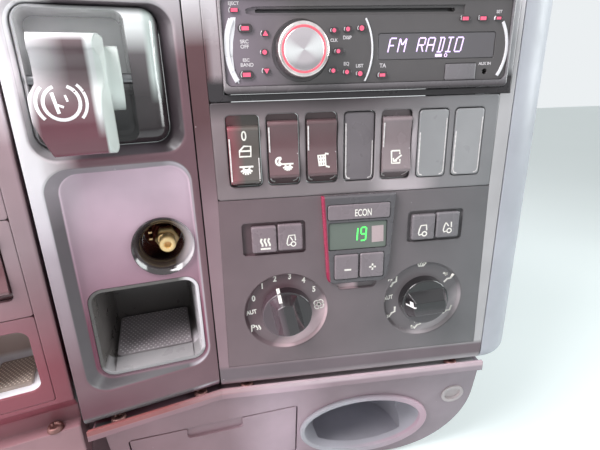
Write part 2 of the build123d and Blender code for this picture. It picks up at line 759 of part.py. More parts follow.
# Bright arcs at both ends of the face and beside the keys: a width, then three points of each arc
radio_arc_table = [
    (3.2, (-1, 7.5, 1, -15.4), (-1, 3.9, 0, 1.0), (-1, 8.9, -1, 7.6)),
    (1.8, (1, -7.7, 1, -18.4), (1, -3.5, 0, 0.0), (1, -7.7, -1, 7.0)),
    (1.0, (-1, 89.7, 1, -15.6), (-1, 94.3, 0, -4.6), (-1, 89.7, -1, 5.8)),
]
with BuildPart() as radio_trim:
    for arc_width, first, middle, last in radio_arc_table:
        with BuildSketch(front.offset(face_proud)):
            with BuildLine():
                ThreePointArc(on_face(*first), on_face(*middle), on_face(*last))
            trace(line_width=arc_width)
        extrude(amount=0.7)
radio_trim.part.label = "radio_trim"
export_step(radio_trim.part, "parts/radio_trim.step")

# Switch panel with seven wells, four rockers and three blanking pieces
switch_low = climate_top + 0.5
switch_high = insert_split - seat_gap
with BuildPart() as switch_panel:
    with BuildSketch(front):
        with Locations(((opening_left + low_right) / 2, (switch_high + switch_low) / 2)):
            RectangleRounded(low_right - opening_left - seat_gap, switch_high - switch_low, 2)
        with Locations((0, switch_z)):
            with GridLocations(switch_pitch, 1, switch_count, 1):
                RectangleRounded(well_width, well_height, 3, mode=Mode.SUBTRACT)
    extrude(amount=-insert_thick)
switch_panel.part.label = "switch_panel"
export_step(switch_panel.part, "parts/switch_panel.step")

switch_gap = 0.3
switch_body = 24.0
well_floor = 4.0


def switch_base(plane, place):
    """Body of a switch behind the panel, up to the floor of its well."""
    with BuildSketch(plane.offset(-switch_body)) as base:
        with Locations(place):
            RectangleRounded(well_width - 2 * switch_gap, well_height - 2 * switch_gap, 2.7)
    extrude(base.sketch, amount=switch_body - well_floor)


def rocker_cap(plane, place, height):
    """Rocker with a hollowed face that stands out at both ends."""
    x, z = place
    origin = plane.from_local_coords((x - well_width / 2 + 1.0, z, 0))
    half = height / 2
    with BuildSketch(Plane(origin=origin, x_dir=-plane.z_dir, z_dir=plane.x_dir)) as cap:
        with BuildLine():
            Polyline((well_floor, -half), (-2.2, -half + 1.6))
            ThreePointArc((-2.2, -half + 1.6), (-3.3, -half + 3.4), (-3.0, -half + 5.0))
            ThreePointArc((-3.0, -half + 5.0), (-0.6, 0), (-1.6, half - 4.0))
            ThreePointArc((-1.6, half - 4.0), (-1.4, half - 1.6), (0.2, half - 0.6))
            Polyline((0.2, half - 0.6), (well_floor, half), (well_floor, -half))
        make_face()
    extrude(cap.sketch, amount=well_width - 2.0)


# columns: position in the row from -3 to 3, kind, node name, and how far a rocker's cap sits below
# the middle or a blank stands out of the panel
switch_table = [
    (-3, "rocker", "switch_rocker_1", 2.6),
    (-2, "rocker", "switch_rocker_2", 0.0),
    (-1, "rocker", "switch_rocker_3", 0.0),
    (0, "flat", "switch_blank_4", -1.0),
    (1, "rocker", "switch_rocker_5", 0.0),
    (2, "blank", "switch_blank_6", 0.4),
    (3, "blank", "switch_blank_7", 0.4),
]
for position, kind, node, shift in switch_table:
    place = (position * switch_pitch, switch_z)
    with BuildPart() as switch:
        switch_base(front, place)
        if kind == "rocker":
            rocker_cap(front, (place[0], place[1] - shift), rocker_height)
        else:
            with BuildSketch(front.offset(-well_floor)):
                with Locations(place):
                    RectangleRounded(well_width - 1.6, well_height - 1.6, 2.4)
            extrude(amount=well_floor + shift)
    switch.part.label = node
    export_step(switch.part, f"parts/{node}.step")

# Climate panel: a plate with two dished dial recesses, two key pockets and the display pod
climate_corners = [
    (opening_left, climate_top),
    (low_right - 0.1, climate_top),
    (low_right + spread - 0.2, climate_foot + seat_gap),
    (opening_left - spread + 0.1, climate_foot + seat_gap),
]
key_pocket = 2.2
# columns: middle x, middle z, width, height of each key pocket
pocket_left = (-61.0, 17.3, 45.0, 24.6)
pocket_right = (59.2, 18.6, 42.6, 24.0)
finger_notch = (0.0, -23.8, 31.0, 9.0)
shaft_radius = 3.0
with BuildPart() as climate_panel:
    with BuildSketch(front):
        Polygon(*climate_corners, align=None)
    extrude(amount=-insert_thick)
    with BuildSketch(front):
        with Locations((-dial_x, dial_z), (dial_x, dial_z)):
            Circle(dial_recess)
    extrude(amount=-dial_depth, taper=35, mode=Mode.SUBTRACT)
    with BuildSketch(front):
        for x, z, w, h in (pocket_left, pocket_right):
            with Locations((x, z)):
                RectangleRounded(w, h, 2.5)
    extrude(amount=-key_pocket, mode=Mode.SUBTRACT)
    with BuildSketch(front):
        with Locations(finger_notch[:2]):
            SlotOverall(finger_notch[2], finger_notch[3])
    extrude(amount=-key_pocket, taper=20, mode=Mode.SUBTRACT)
    with BuildSketch(front):
        with Locations((-dial_x, dial_z), (dial_x, dial_z)):
            Circle(shaft_radius + 0.02)
    extrude(amount=-insert_thick, mode=Mode.SUBTRACT)
climate_panel.part.label = "climate_panel"
export_step(climate_panel.part, "parts/climate_panel.step")

# Dials: a round knob with a bar to grip, on a shaft through the panel
bar_width, bar_high, bar_slope = 21.0, 9.0, 29.0
disc_high = 8.0
# columns: node name, x, turn of the bar from upright
dial_table = [("fan_dial", -dial_x, 11.0), ("air_dial", dial_x, 94.0)]
for node, x, bar_turn in dial_table:
    with BuildPart() as dial:
        with BuildSketch(front.offset(-dial_depth)):
            with Locations((x, dial_z)):
                Circle(dial_radius)
        extrude(amount=disc_high, taper=3)
        fillet(dial.faces().sort_by(Axis.Y)[0].edges(), radius=1.2)
        with BuildSketch(front.offset(-dial_depth + disc_high)):
            with Locations((x, dial_z)):
                Circle(dial_radius - 1.8)
            with Locations(Location((x, dial_z, 0), (0, 0, bar_turn))):
                Rectangle(bar_width, 3 * dial_radius, mode=Mode.INTERSECT)
        extrude(amount=bar_high, taper=bar_slope)
        bar_top = dial.faces().sort_by(Axis.Y)[0]
        fillet(bar_top.edges(), radius=1.0)
        with BuildSketch(front.offset(-dial_depth)):
            with Locations((x, dial_z)):
                Circle(shaft_radius)
        extrude(amount=-14)
    dial.part.label = node
    export_step(dial.part, f"parts/{node}.step")

# Display pod: a raised frame with pockets for the display and three keys
pod_proud = 4.0
pod_pocket = 3.0
econ_key_place = (-0.2, 34.6, 45.0, 11.0)
display_place = (-0.7, 16.3, 42.6, 20.6)
# columns: middle x, middle z, width, height
temp_table = [(-9.1, -7.6, 18.0, 19.6), (10.0, -7.4, 18.0, 19.6)]
with BuildPart() as display_pod:
    with BuildSketch(front):
        with BuildLine():
            Polyline((-27.2, climate_top - 0.4), (26.6, climate_top - 0.4), (24.2, -4), (23.0, -15))
            ThreePointArc((23.0, -15), (20.5, -19.8), (15.5, -21.4))
            Polyline((15.5, -21.4), (-17.5, -21.4))
            ThreePointArc((-17.5, -21.4), (-21.6, -19.8), (-23.6, -15.5))
            Line((-23.6, -15.5), (-27.2, climate_top - 0.4))
        make_face()
    extrude(amount=pod_proud)
    chamfer(display_pod.faces().sort_by(Axis.Y)[0].edges(), length=1.2)
    with BuildSketch(front.offset(pod_proud)):
        for x, z, w, h in [econ_key_place, display_place, *temp_table]:
            with Locations((x, z)):
                RectangleRounded(w + 0.7, h + 0.7, 1.5)
    extrude(amount=-pod_pocket, mode=Mode.SUBTRACT)
display_pod.part.label = "display_pod"
export_step(display_pod.part, "parts/display_pod.step")


def flat_keys(table, floor, high, edge):
    """Small keys that stand on the floor of their pocket."""
    for x, z, w, h in table:
        with BuildSketch(front.offset(floor)) as key:
            with Locations((x, z)):
                RectangleRounded(w, h, 1.5)
        extrude(key.sketch, amount=high)
    tops = [face for face in faces() if abs(face.center().Y - (-depth - floor - high)) < 0.01]
    fillet([e for face in tops for e in face.edges()], radius=edge)


with BuildPart() as econ_key:
    flat_keys([econ_key_place], pod_proud - pod_pocket, 3.6, 0.6)
econ_key.part.label = "econ_key"
export_step(econ_key.part, "parts/econ_key.step")

with BuildPart() as temp_keys:
    flat_keys(temp_table, pod_proud - pod_pocket, 4.0, 1.2)
temp_keys.part.label = "temp_keys"
export_step(temp_keys.part, "parts/temp_keys.step")

with BuildPart() as climate_display:
    flat_keys([display_place], pod_proud - pod_pocket, 2.2, 0.3)
climate_display.part.label = "climate_display"
export_step(climate_display.part, "parts/climate_display.step")

key_width, key_height = 17.6, 19.6
left_table = [(-68.2, 17.2, key_width, key_height), (-49.6, 17.8, key_width, key_height)]
right_table = [(49.6, 18.2, key_width, key_height), (68.4, 18.8, key_width, key_height)]
with BuildPart() as vent_keys_left:
    flat_keys(left_table, -key_pocket, 4.0, 1.2)
vent_keys_left.part.label = "vent_keys_left"
export_step(vent_keys_left.part, "parts/vent_keys_left.step")

with BuildPart() as vent_keys_right:
    flat_keys(right_table, -key_pocket, 4.0, 1.2)
vent_keys_right.part.label = "vent_keys_right"
export_step(vent_keys_right.part, "parts/vent_keys_right.step")

# Lower panel: a lip that follows the fronts above, and an undercut face that bends in one place
lip_right = cheek_x + 4.0
lower_y = -depth + lower_back
lip_left = column.from_local_coords((-column_width, 0, 0))
lower_wall = 3.0
panel_face = yawed_plane(lower_bend_x, lower_y, step_z, lower_yaw, undercut)
cup_face = yawed_plane(lower_bend_x, lower_y, step_z, 0.0, undercut)
lid_height, lid_thick = 66.0, 5.0
lid_place = (-lid_bend_gap - lid_width / 2, -63.5)
lid_seam = 1.2
lid_barrel = 4.5
lid_pin = 2.0
lid_pin_long = 3.5
lug_width, lug_height, lug_deep = 4.0, 12.0, 9.5
cup_place = (59.0, -65.0)
cup_half_width, cup_half_height = 57.5, 36.5
cup_radius = 46.0
cup_back = 38.0  # axis of the cup behind the top of the panel's face
plug_place = (142.6, -38.4)
plug_radius = 9.0
lid_hinge_y = lid_place[1] - lid_height / 2 + lid_barrel


def lid_side(along):
    """Plane across the lid: own axes run into the dashboard and up the panel's face."""
    return Plane(
        origin=panel_face.from_local_coords((lid_place[0] + along, 0, 0)),
        x_dir=-panel_face.z_dir,
        z_dir=panel_face.x_dir,
    )


def lower_body(inset, beyond):
    """Body behind the two faces of the panel, which meet at the bend."""
    nose = 30.0  # drawn from in front of both faces
    thick = depth + back_y + nose + beyond
    with BuildPart() as right_part:
        extrude(lower_outline(front.offset(nose), inset, inset), amount=-thick)
        split(bisect_by=cup_face.offset(-inset), keep=Keep.BOTTOM)
    with BuildPart() as left_part:
        extrude(lower_outline(front.offset(nose), inset, inset), amount=-thick)
        split(bisect_by=panel_face.offset(-inset), keep=Keep.BOTTOM)
        split(bisect_by=Plane(origin=(lower_bend_x, 0, 0), z_dir=(1, 0, 0)), keep=Keep.BOTTOM)
    return right_part.part + left_part.part


lower_shell = lower_body(0, 0)
lower_cavity = lower_body(lower_wall, 20)
with BuildPart() as lower_panel:
    add(lower_shell)
    # lip and the flat land behind it
    with BuildSketch(Plane.XY.offset(step_z - 0.5)):
        with BuildLine():
            Polyline(
                (lip_left.X, lip_left.Y),
                (seam_x, -depth),
                (lip_right, -depth),
                (lip_right, back_y),
                (lip_left.X, back_y),
                close=True,
            )
        make_face()
    extrude(amount=foot_z - step_z + 0.3)
    with BuildSketch(Plane.XY.offset(step_z)):
        with BuildLine():
            Polyline(
                (lip_left.X, lip_left.Y),
                (seam_x, -depth),
                (lip_right, -depth),
                (lip_right, -depth + wall - 0.2),
                (seam_x, -depth + wall - 0.2),
                (lip_left.X + 0.8, lip_left.Y + wall - 0.2),
                close=True,
            )
        make_face()
    extrude(amount=lip_z - step_z)
    add(lower_cavity, mode=Mode.SUBTRACT)
    # lugs for the lid's pins, then the lid opening, cup opening and plug hole, each square to the face
    with BuildSketch(panel_face.offset(-1)):
        for side in (-1, 1):
            with Locations((lid_place[0] + side * (lid_width + 2 * lid_seam + lug_width) / 2, lid_hinge_y)):
                Rectangle(lug_width, lug_height)
    extrude(amount=-lug_deep)
    with BuildSketch(panel_face.offset(5)):
        with Locations(lid_place):
            RectangleRounded(lid_width + 2 * lid_seam, lid_height + 2 * lid_seam, 4)
    extrude(amount=-30, mode=Mode.SUBTRACT)
    with BuildSketch(cup_face.offset(6)):
        with Locations(cup_place):
            Ellipse(cup_half_width, cup_half_height)
    extrude(amount=-30, mode=Mode.SUBTRACT)
    with BuildSketch(cup_face.offset(6)):
        with Locations(plug_place):
            Circle(plug_radius)
    extrude(amount=-20, mode=Mode.SUBTRACT)
    with BuildSketch(lid_side(-lid_width / 2 - lid_seam - 4)):
        with Locations((lid_barrel, lid_hinge_y)):
            Circle(lid_pin + pin_running)
    extrude(amount=lid_width + 2 * lid_seam + 8, mode=Mode.SUBTRACT)
lower_panel.part.label = "lower_panel"
export_step(lower_panel.part, "parts/lower_panel.step")

# Ashtray: a lid on two pins at its foot, with an open-topped bin on its back
notch_width, notch_height, notch_deep = 46.0, 12.0, 2.0
bin_width, bin_height, bin_back, bin_skin = 106.0, 38.0, 30.0, 1.5
with BuildPart() as ashtray_lid:
    with BuildSketch(lid_side(-lid_width / 2)):
        top_y = lid_place[1] + lid_height / 2
        with BuildLine():
            Polyline((0, lid_hinge_y), (0, top_y), (lid_thick, top_y), (lid_thick, lid_hinge_y), close=True)
        make_face()
        with Locations((lid_barrel, lid_hinge_y)):
            Circle(lid_barrel)
    extrude(amount=lid_width)
    with BuildSketch(panel_face):
        with Locations((lid_place[0] - 1.5, top_y - notch_height / 2 + 1)):
            RectangleRounded(notch_width, notch_height + 2, 3)
    extrude(amount=-notch_deep, mode=Mode.SUBTRACT)
    with BuildSketch(lid_side(-lid_width / 2 - lid_pin_long)):
        with Locations((lid_barrel, lid_hinge_y)):
            Circle(lid_pin)
    extrude(amount=lid_width + 2 * lid_pin_long)
ashtray_lid.part.label = "ashtray_lid"
export_step(ashtray_lid.part, "parts/ashtray_lid.step")

bin_low = lid_hinge_y + lid_barrel + 1.0
with BuildPart() as ashtray_bin:
    with BuildSketch(panel_face.offset(-lid_thick)):
        with Locations((lid_place[0], bin_low + bin_height / 2)):
            Rectangle(bin_width, bin_height)
    extrude(amount=-bin_back)
    fillet(ashtray_bin.edges().filter_by(Axis(origin=(0, 0, 0), direction=panel_face.z_dir)), radius=2)
    with BuildSketch(panel_face.offset(-lid_thick - bin_skin)):
        with Locations((lid_place[0], bin_low + bin_skin + bin_height / 2)):
            Rectangle(bin_width - 2 * bin_skin, bin_height)
    extrude(amount=-bin_back + 2 * bin_skin, mode=Mode.SUBTRACT)
ashtray_bin.part.label = "ashtray_bin"
export_step(ashtray_bin.part, "parts/ashtray_bin.step")

# Cup niche: an elliptical mouth in the panel's face that opens into an upright round well
niche_wall = 2.4
rim_proud = 3.2
rim_width = 3.0  # rim beyond the opening in the panel
rim_shift = 1.6  # rim is wider towards its lower right
rim_soft = 1.5
cup_x = cup_place[0] + lower_bend_x
cup_y = lower_y + cup_back
well_top, well_low = -147.0, -215.0
mouth_run = 30.0


def niche_body(inset, start):
    """Upright well behind the panel with an elliptical mouth that reaches the start plane."""
    with BuildPart() as body:
        with BuildSketch(Plane.XY.offset(well_low - niche_wall + inset)) as well:
            with Locations((cup_x, cup_y)):
                Circle(cup_radius - inset)
        extrude(well.sketch, amount=well_top - well_low + 2 * niche_wall - 2 * inset)
        split(bisect_by=cup_face.offset(-lower_wall - seat_gap - inset), keep=Keep.BOTTOM)
        with BuildSketch(cup_face.offset(start)) as mouth:
            with Locations(cup_place):
                Ellipse(cup_half_width - seat_gap - inset, cup_half_height - seat_gap - inset)
        extrude(mouth.sketch, amount=-mouth_run - start + inset)
    return body.part


niche_shell = niche_body(0.0, 0.0)
niche_void = niche_body(niche_wall, rim_proud + 1)
with BuildPart() as cup_niche:
    add(niche_shell)
    with BuildSketch(cup_face):
        with Locations((cup_place[0] + rim_shift, cup_place[1] - rim_shift)):
            Ellipse(cup_half_width + rim_width, cup_half_height + rim_width)
    extrude(amount=rim_proud)
    flats = cup_niche.faces().filter_by(cup_face)
    rim_front = flats.sort_by(lambda f: cup_face.to_local_coords(f.center()).Z)[-1]
    fillet(rim_front.edges(), radius=rim_soft)
    add(niche_void, mode=Mode.SUBTRACT)
cup_niche.part.label = "cup_niche"
export_step(cup_niche.part, "parts/cup_niche.step")

with BuildPart() as round_plug:
    with BuildSketch(cup_face.offset(-4)):
        with Locations(plug_place):
            Circle(plug_radius - 0.2)
    extrude(amount=4)
    with BuildSketch(cup_face):
        with Locations(plug_place):
            Circle(plug_radius + 1.5)
    extrude(amount=1.2)
    with BuildSketch(cup_face.offset(1.2)):
        with Locations(plug_place):
            Circle(plug_radius - 1.5)
    extrude(amount=-2.4, mode=Mode.SUBTRACT)
round_plug.part.label = "round_plug"
export_step(round_plug.part, "parts/round_plug.step")

# Side wing: a frame with two plates, one for a switch and one with a tray
wing_end = wing_start + wing_width
wing_foot = -150.0
wing_band = -108.0
wing_deep = 150.0
wing_step = 10.0
wing_split = -14.7  # joint between the tray and the switch plate
wing_joint = 50.0  # joint between the switch plate and the blank above it
wing_round = 12.0
wing_opening = (-136.0, 47.5, 49.0, 257.0)
wing_low = wing_opening[1] - wing_opening[3] / 2
wing_high = wing_opening[1] + wing_opening[3] / 2
plate_thick = 4.0


def wing_side(u):
    """Plane across the wing at u, whose own axes run into the dashboard and up."""
    return Plane(origin=wing.from_local_coords((u, 0, 0)), x_dir=-wing.z_dir, z_dir=wing.x_dir)


def wing_profile(inset):
    """Side profile of the wing, drawn smaller by the inset: a face, a step back, and a foot below it."""
    step = wing_step + inset
    low = wing_band + 2 * wing_round + inset / 3
    Polygon(
        (inset, wing_top - inset),
        (inset, low),
        (step, low - wing_round),
        (step, wing_band - inset),
        (inset, wing_band - inset),
        (inset, wing_foot + inset),
        (wing_deep + inset, wing_foot + inset),
        (wing_deep + inset, wing_top - inset),
        align=None,
    )


with BuildPart() as wing_hollow:
    with BuildSketch(wing_side(-wing_end + wall)):
        wing_profile(wall)
    extrude(amount=wing_width - 2 * wall)

with BuildPart() as wing_frame:
    with BuildSketch(wing_side(-wing_end)):
        wing_profile(0)
    extrude(amount=wing_width)
    add(wing_hollow.part, mode=Mode.SUBTRACT)
    with BuildSketch(wing.offset(-wall)):
        with Locations(wing_opening[:2]):
            Rectangle(wing_opening[2] + 6, wing_opening[3] + 6)
    extrude(amount=-plate_thick)
    with BuildSketch(wing):
        with Locations(wing_opening[:2]):
            RectangleRounded(wing_opening[2], wing_opening[3], 2)
    extrude(amount=-plate_thick, mode=Mode.SUBTRACT)
    with BuildSketch(wing):
        with Locations(wing_opening[:2]):
            Rectangle(wing_opening[2] - 2 * wall, wing_opening[3] - 2 * wall)
    extrude(amount=-2 * plate_thick, mode=Mode.SUBTRACT)
    split(bisect_by=Plane.XZ.offset(-back_y), keep=Keep.TOP)
wing_frame.part.label = "wing_frame"
export_step(wing_frame.part, "parts/wing_frame.step")

wing_switch_place = (-130.5, 22.0)


def plate_between(low, high):
    """Outline of the plate in the wing's opening between two heights."""
    with Locations((wing_opening[0], (low + high) / 2)):
        RectangleRounded(wing_opening[2] - 2 * seat_gap, high - low - 2 * seat_gap, 2)


with BuildPart() as wing_blank:
    with BuildSketch(wing):
        plate_between(wing_joint, wing_high)
    extrude(amount=-plate_thick)
wing_blank.part.label = "wing_blank"
export_step(wing_blank.part, "parts/wing_blank.step")

with BuildPart() as wing_plate:
    with BuildSketch(wing):
        plate_between(wing_split, wing_joint)
        with Locations(wing_switch_place):
            RectangleRounded(well_width, well_height, 3, mode=Mode.SUBTRACT)
    extrude(amount=-plate_thick)
wing_plate.part.label = "wing_plate"
export_step(wing_plate.part, "parts/wing_plate.step")

with BuildPart() as wing_switch:
    switch_base(wing, wing_switch_place)
    rocker_cap(wing, wing_switch_place, rocker_height)
wing_switch.part.label = "wing_switch"
export_step(wing_switch.part, "parts/wing_switch.step")

wing_mouth = ((-136.3, -47.0), (37.6, 46.4), 7.0)
wing_bin_deep = 46.0
with BuildPart() as wing_tray:
    with BuildSketch(wing):
        plate_between(wing_low, wing_split)
    extrude(amount=-plate_thick)
    with BuildSketch(wing.offset(-1)):
        plate_outline(wing_mouth, bin_wall)
    extrude(amount=-wing_bin_deep + 1)
    with BuildSketch(wing):
        plate_outline(wing_mouth)
    extrude(amount=-wing_bin_deep + bin_wall, mode=Mode.SUBTRACT)
wing_tray.part.label = "wing_tray"
export_step(wing_tray.part, "parts/wing_tray.step")

wing_mat_deep = wing_bin_deep - 12.0
wing_floor = wing_mouth[0][1] - wing_mouth[1][1] / 2
with BuildPart() as wing_mat:
    with BuildSketch(Plane(
        origin=wing.from_local_coords((wing_mouth[0][0], wing_floor, -9.0)), x_dir=wing.x_dir, z_dir=(0, 0, 1)
    )):
        with Locations((0, wing_mat_deep / 2)):
            RectangleRounded(wing_mouth[1][0] - 14, wing_mat_deep, 2)
    extrude(amount=mat_thick)
wing_mat.part.label = "wing_mat"
export_step(wing_mat.part, "parts/wing_mat.step")
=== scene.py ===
from math import cos, pi, radians, sin

import bmesh
import bpy
from mathutils import Matrix, Vector
from mathutils.bvhtree import BVHTree


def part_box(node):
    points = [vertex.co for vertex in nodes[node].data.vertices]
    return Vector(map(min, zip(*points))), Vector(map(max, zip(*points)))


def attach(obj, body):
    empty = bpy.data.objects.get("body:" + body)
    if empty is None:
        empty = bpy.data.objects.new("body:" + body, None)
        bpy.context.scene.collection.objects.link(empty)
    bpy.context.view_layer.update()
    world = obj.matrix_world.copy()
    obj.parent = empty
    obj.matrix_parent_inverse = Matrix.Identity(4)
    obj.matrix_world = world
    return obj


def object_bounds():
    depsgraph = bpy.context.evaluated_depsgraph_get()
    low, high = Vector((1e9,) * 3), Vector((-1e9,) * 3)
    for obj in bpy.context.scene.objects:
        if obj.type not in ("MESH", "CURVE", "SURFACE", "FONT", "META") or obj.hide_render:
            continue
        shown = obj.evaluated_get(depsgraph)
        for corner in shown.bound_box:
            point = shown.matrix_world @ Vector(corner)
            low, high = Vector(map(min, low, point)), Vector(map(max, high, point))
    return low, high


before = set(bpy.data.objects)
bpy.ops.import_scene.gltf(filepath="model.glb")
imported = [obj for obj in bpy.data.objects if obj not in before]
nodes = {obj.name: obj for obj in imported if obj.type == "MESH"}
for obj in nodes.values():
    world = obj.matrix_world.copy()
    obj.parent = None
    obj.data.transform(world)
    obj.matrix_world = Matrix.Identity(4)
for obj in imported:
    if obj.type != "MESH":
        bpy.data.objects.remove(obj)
scene = bpy.context.scene
cad_low, cad_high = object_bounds()

MM = 0.001  # places on the console's faces are written in millimetres


class Face:
    """A flat face of the console. Places on it are millimetres right, up and out of it."""

    def __init__(self, origin, yaw=0.0, pitch=0.0):
        turn, tilt = radians(yaw), radians(pitch)
        self.origin = Vector(origin)
        self.right = Vector((cos(turn), sin(turn), 0))
        self.out = Vector((sin(turn) * cos(tilt), -cos(turn) * cos(tilt), -sin(tilt)))
        self.up = self.out.cross(self.right)

    def at(self, right, up, out=0.0):
        return (self.origin + right * self.right + up * self.up + out * self.out) * MM

    def matrix(self, right, up, out=0.0):
        """Turns an object's own X, Y and Z to the face's right, up and out, at a place on it."""
        turn = Matrix((self.right, self.up, self.out)).transposed().to_4x4()
        return Matrix.Translation(self.at(right, up, out)) @ turn


face_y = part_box("centre_frame")[0].y / MM
half_seam = 0.45  # half of the gap between the left column and the centre frame
seam_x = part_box("centre_frame")[0].x / MM - half_seam
column_yaw, floor_yaw = 16.5, 10.5
floor_depth = 1.5  # of the dish's floor behind the column's face, at the seam
wing_setback = 8
panel_place = (-45, face_y + 10, -117)
panel_yaw, panel_pitch = 7, 11

front = Face((0, face_y, 0))
column = Face((seam_x, face_y, 0), yaw=column_yaw)
column_floor = Face((seam_x, face_y + floor_depth, 0), yaw=floor_yaw)
wing = Face(column.at(0, 0, -wing_setback) / MM, yaw=column_yaw)
panel = Face(panel_place, yaw=panel_yaw, pitch=panel_pitch)
cup = Face(panel_place, pitch=panel_pitch)


# Materials
materials = {}


def screen(red, green, blue):
    """Linear colour of an 8-bit screen colour."""
    shares = [v / 255 for v in (red, green, blue)]
    return tuple(v / 12.92 if v <= 0.04045 else ((v + 0.055) / 1.055) ** 2.4 for v in shares) + (1.0,)


def new_material(name):
    """A material with a Principled shader: returns its node tree, the shader and the place on the piece."""
    material = bpy.data.materials.new(name)
    material.use_nodes = True
    materials[name] = material
    tree = material.node_tree
    return tree, tree.nodes["Principled BSDF"], add(tree, "ShaderNodeTexCoord").outputs["Object"]


def feed(tree, node, inputs):
    """Fills a node's inputs, given as pairs of socket and value or link."""
    for socket, value in inputs:
        if isinstance(value, bpy.types.NodeSocket):
            tree.links.new(value, node.inputs[socket])
        else:
            node.inputs[socket].default_value = value


def add(tree, kind, inputs=(), **settings):
    """Adds a node, with its settings by name and its inputs as pairs of socket and value or link."""
    node = tree.nodes.new(kind)
    for key, value in settings.items():
        setattr(node, key, value)
    feed(tree, node, inputs)
    return node


MIX_FACTOR, MIX_A, MIX_B, MIX_OUT = 0, 6, 7, 2  # the colour sockets of a Mix node


def mix(tree, factor, a, b, blend="MIX"):
    pairs = [(MIX_FACTOR, factor), (MIX_A, a), (MIX_B, b)]
    return add(tree, "ShaderNodeMix", pairs, data_type="RGBA", blend_type=blend).outputs[MIX_OUT]


def ramp(tree, value, low, high, to_low=0.0, to_high=1.0):
    pairs = [(0, value), (1, low), (2, high), (3, to_low), (4, to_high)]
    return add(tree, "ShaderNodeMapRange", pairs).outputs[0]


def times(tree, a, b):
    return add(tree, "ShaderNodeMath", [(0, a), (1, b)], operation="MULTIPLY").outputs[0]


def shaded(tree, colour, value):
    """The colour with its red, green and blue times a value."""
    grey = add(tree, "ShaderNodeCombineColor", [(0, value), (1, value), (2, value)]).outputs[0]
    return mix(tree, 1.0, colour, grey, "MULTIPLY")


def noise(tree, where, size, detail=2.0):
    """Noise whose blobs are about that many millimetres across."""
    pairs = [("Vector", where), ("Scale", 1000 / size), ("Detail", detail)]
    return add(tree, "ShaderNodeTexNoise", pairs).outputs[0]


NOISE_SPAN = (0.3, 0.7)  # most of the noise lies between these


def vary(tree, value, to_low, to_high):
    """Takes noise to values between two others."""
    return ramp(tree, value, *NOISE_SPAN, to_low, to_high)


def distance(tree, where, face, direction):
    """Distance in millimetres from a face's origin along one of its directions."""
    pairs = [(0, where), (1, direction)]
    run = add(tree, "ShaderNodeVectorMath", pairs, operation="DOT_PRODUCT").outputs["Value"]
    pairs = [(0, run), (1, 1 / MM), (2, -face.origin.dot(direction))]
    return add(tree, "ShaderNodeMath", pairs, operation="MULTIPLY_ADD").outputs[0]


def tinted(tree, where, colour, zones):
    """The colour with other tints laid over parts of it; most of them are painted light and shade.

    A zone is its limits and its tint; a limit is a face, one of its directions, and the start and
    end of the change along it."""
    for limits, tint in zones:
        amount = 1.0
        for face, direction, start, end in limits:
            share = ramp(tree, distance(tree, where, face, direction), start, end)
            amount = times(tree, share, amount)
        colour = mix(tree, amount, colour, screen(*tint))
    return colour


# The turn from mauve at the left to neutral at the right is a painted colour cast of the light
TINT_SPAN = (-200, 110)  # the plastics turn from mauve to neutral between these, across the console
CLOUD_SIZE, WEAR_SIZE, GRAIN_SIZE = 45, 12, 0.9  # millimetres, of the plastic's mottling, wear and grain
GRAIN_HEIGHT = 0.12
WEAR_SMOOTH, WEAR_ROUGH = 0.05, 0.07  # how far wear takes the roughness down and up
COAT_ROUGHNESS = 0.12
SPECK_CELLS = 95.0  # cells a metre that may hold a speck of dust
SPECK_EDGE = (0.045, 0.03)  # where a speck fades in, as parts of a cell
SPECK_CHOICE = (0.70, 0.72)  # a cell holds a speck if its random value lies above these
SPECK_COLOUR = (228, 222, 220)


def moulded(
    name, left, right=None, roughness=0.42, grain=0.12, mottle=0.10, dust=0.0, edge=0.7, coat=0.0,
    span=TINT_SPAN, zones=(),
):
    """Moulded plastic: a painted colour cast across the console, tints over parts of it, mottling, fine
    grain, soft edges and specks of dust.
    """
    tree, shader, where = new_material(name)
    across = distance(tree, where, front, front.right)
    colour = mix(tree, ramp(tree, across, *span), screen(*left), screen(*(right or left)))
    colour = tinted(tree, where, colour, zones)
    colour = shaded(tree, colour, vary(tree, noise(tree, where, CLOUD_SIZE, 3.0), 1 - mottle, 1 + mottle))
    if dust:
        cells = add(tree, "ShaderNodeTexVoronoi", [("Vector", where), ("Scale", SPECK_CELLS)])
        speck = ramp(tree, cells.outputs["Distance"], *SPECK_EDGE)
        draw = add(tree, "ShaderNodeSeparateColor", [(0, cells.outputs["Color"])]).outputs[0]
        speck = times(tree, speck, ramp(tree, draw, *SPECK_CHOICE))
        colour = mix(tree, times(tree, speck, dust), colour, screen(*SPECK_COLOUR))
    wear = noise(tree, where, WEAR_SIZE, 3.0)
    worn = vary(tree, wear, roughness - WEAR_SMOOTH, roughness + WEAR_ROUGH)
    soft = add(tree, "ShaderNodeBevel", [("Radius", edge * MM)], samples=4).outputs[0]
    height = noise(tree, where, GRAIN_SIZE)
    pairs = [("Height", height), ("Strength", grain), ("Distance", GRAIN_HEIGHT * MM), ("Normal", soft)]
    bump = add(tree, "ShaderNodeBump", pairs).outputs[0]
    feed(tree, shader, [("Base Color", colour), ("Roughness", worn), ("Normal", bump)])
    feed(tree, shader, [("Coat Weight", coat), ("Coat Roughness", COAT_ROUGHNESS)])


def metal(name, colour, roughness, zones=()):
    """Metal with faint streaks."""
    streak_size, streak_shade, wear = 6, 0.86, 0.1
    tree, shader, where = new_material(name)
    patches = noise(tree, where, streak_size, 4.0)
    darker = screen(*(v * streak_shade for v in colour))
    streaked = mix(tree, ramp(tree, patches, 0.35, 0.75), screen(*colour), darker)
    worn = vary(tree, patches, roughness, roughness + wear)
    streaked = tinted(tree, where, streaked, zones)
    feed(tree, shader, [("Base Color", streaked), ("Roughness", worn), ("Metallic", 1.0)])


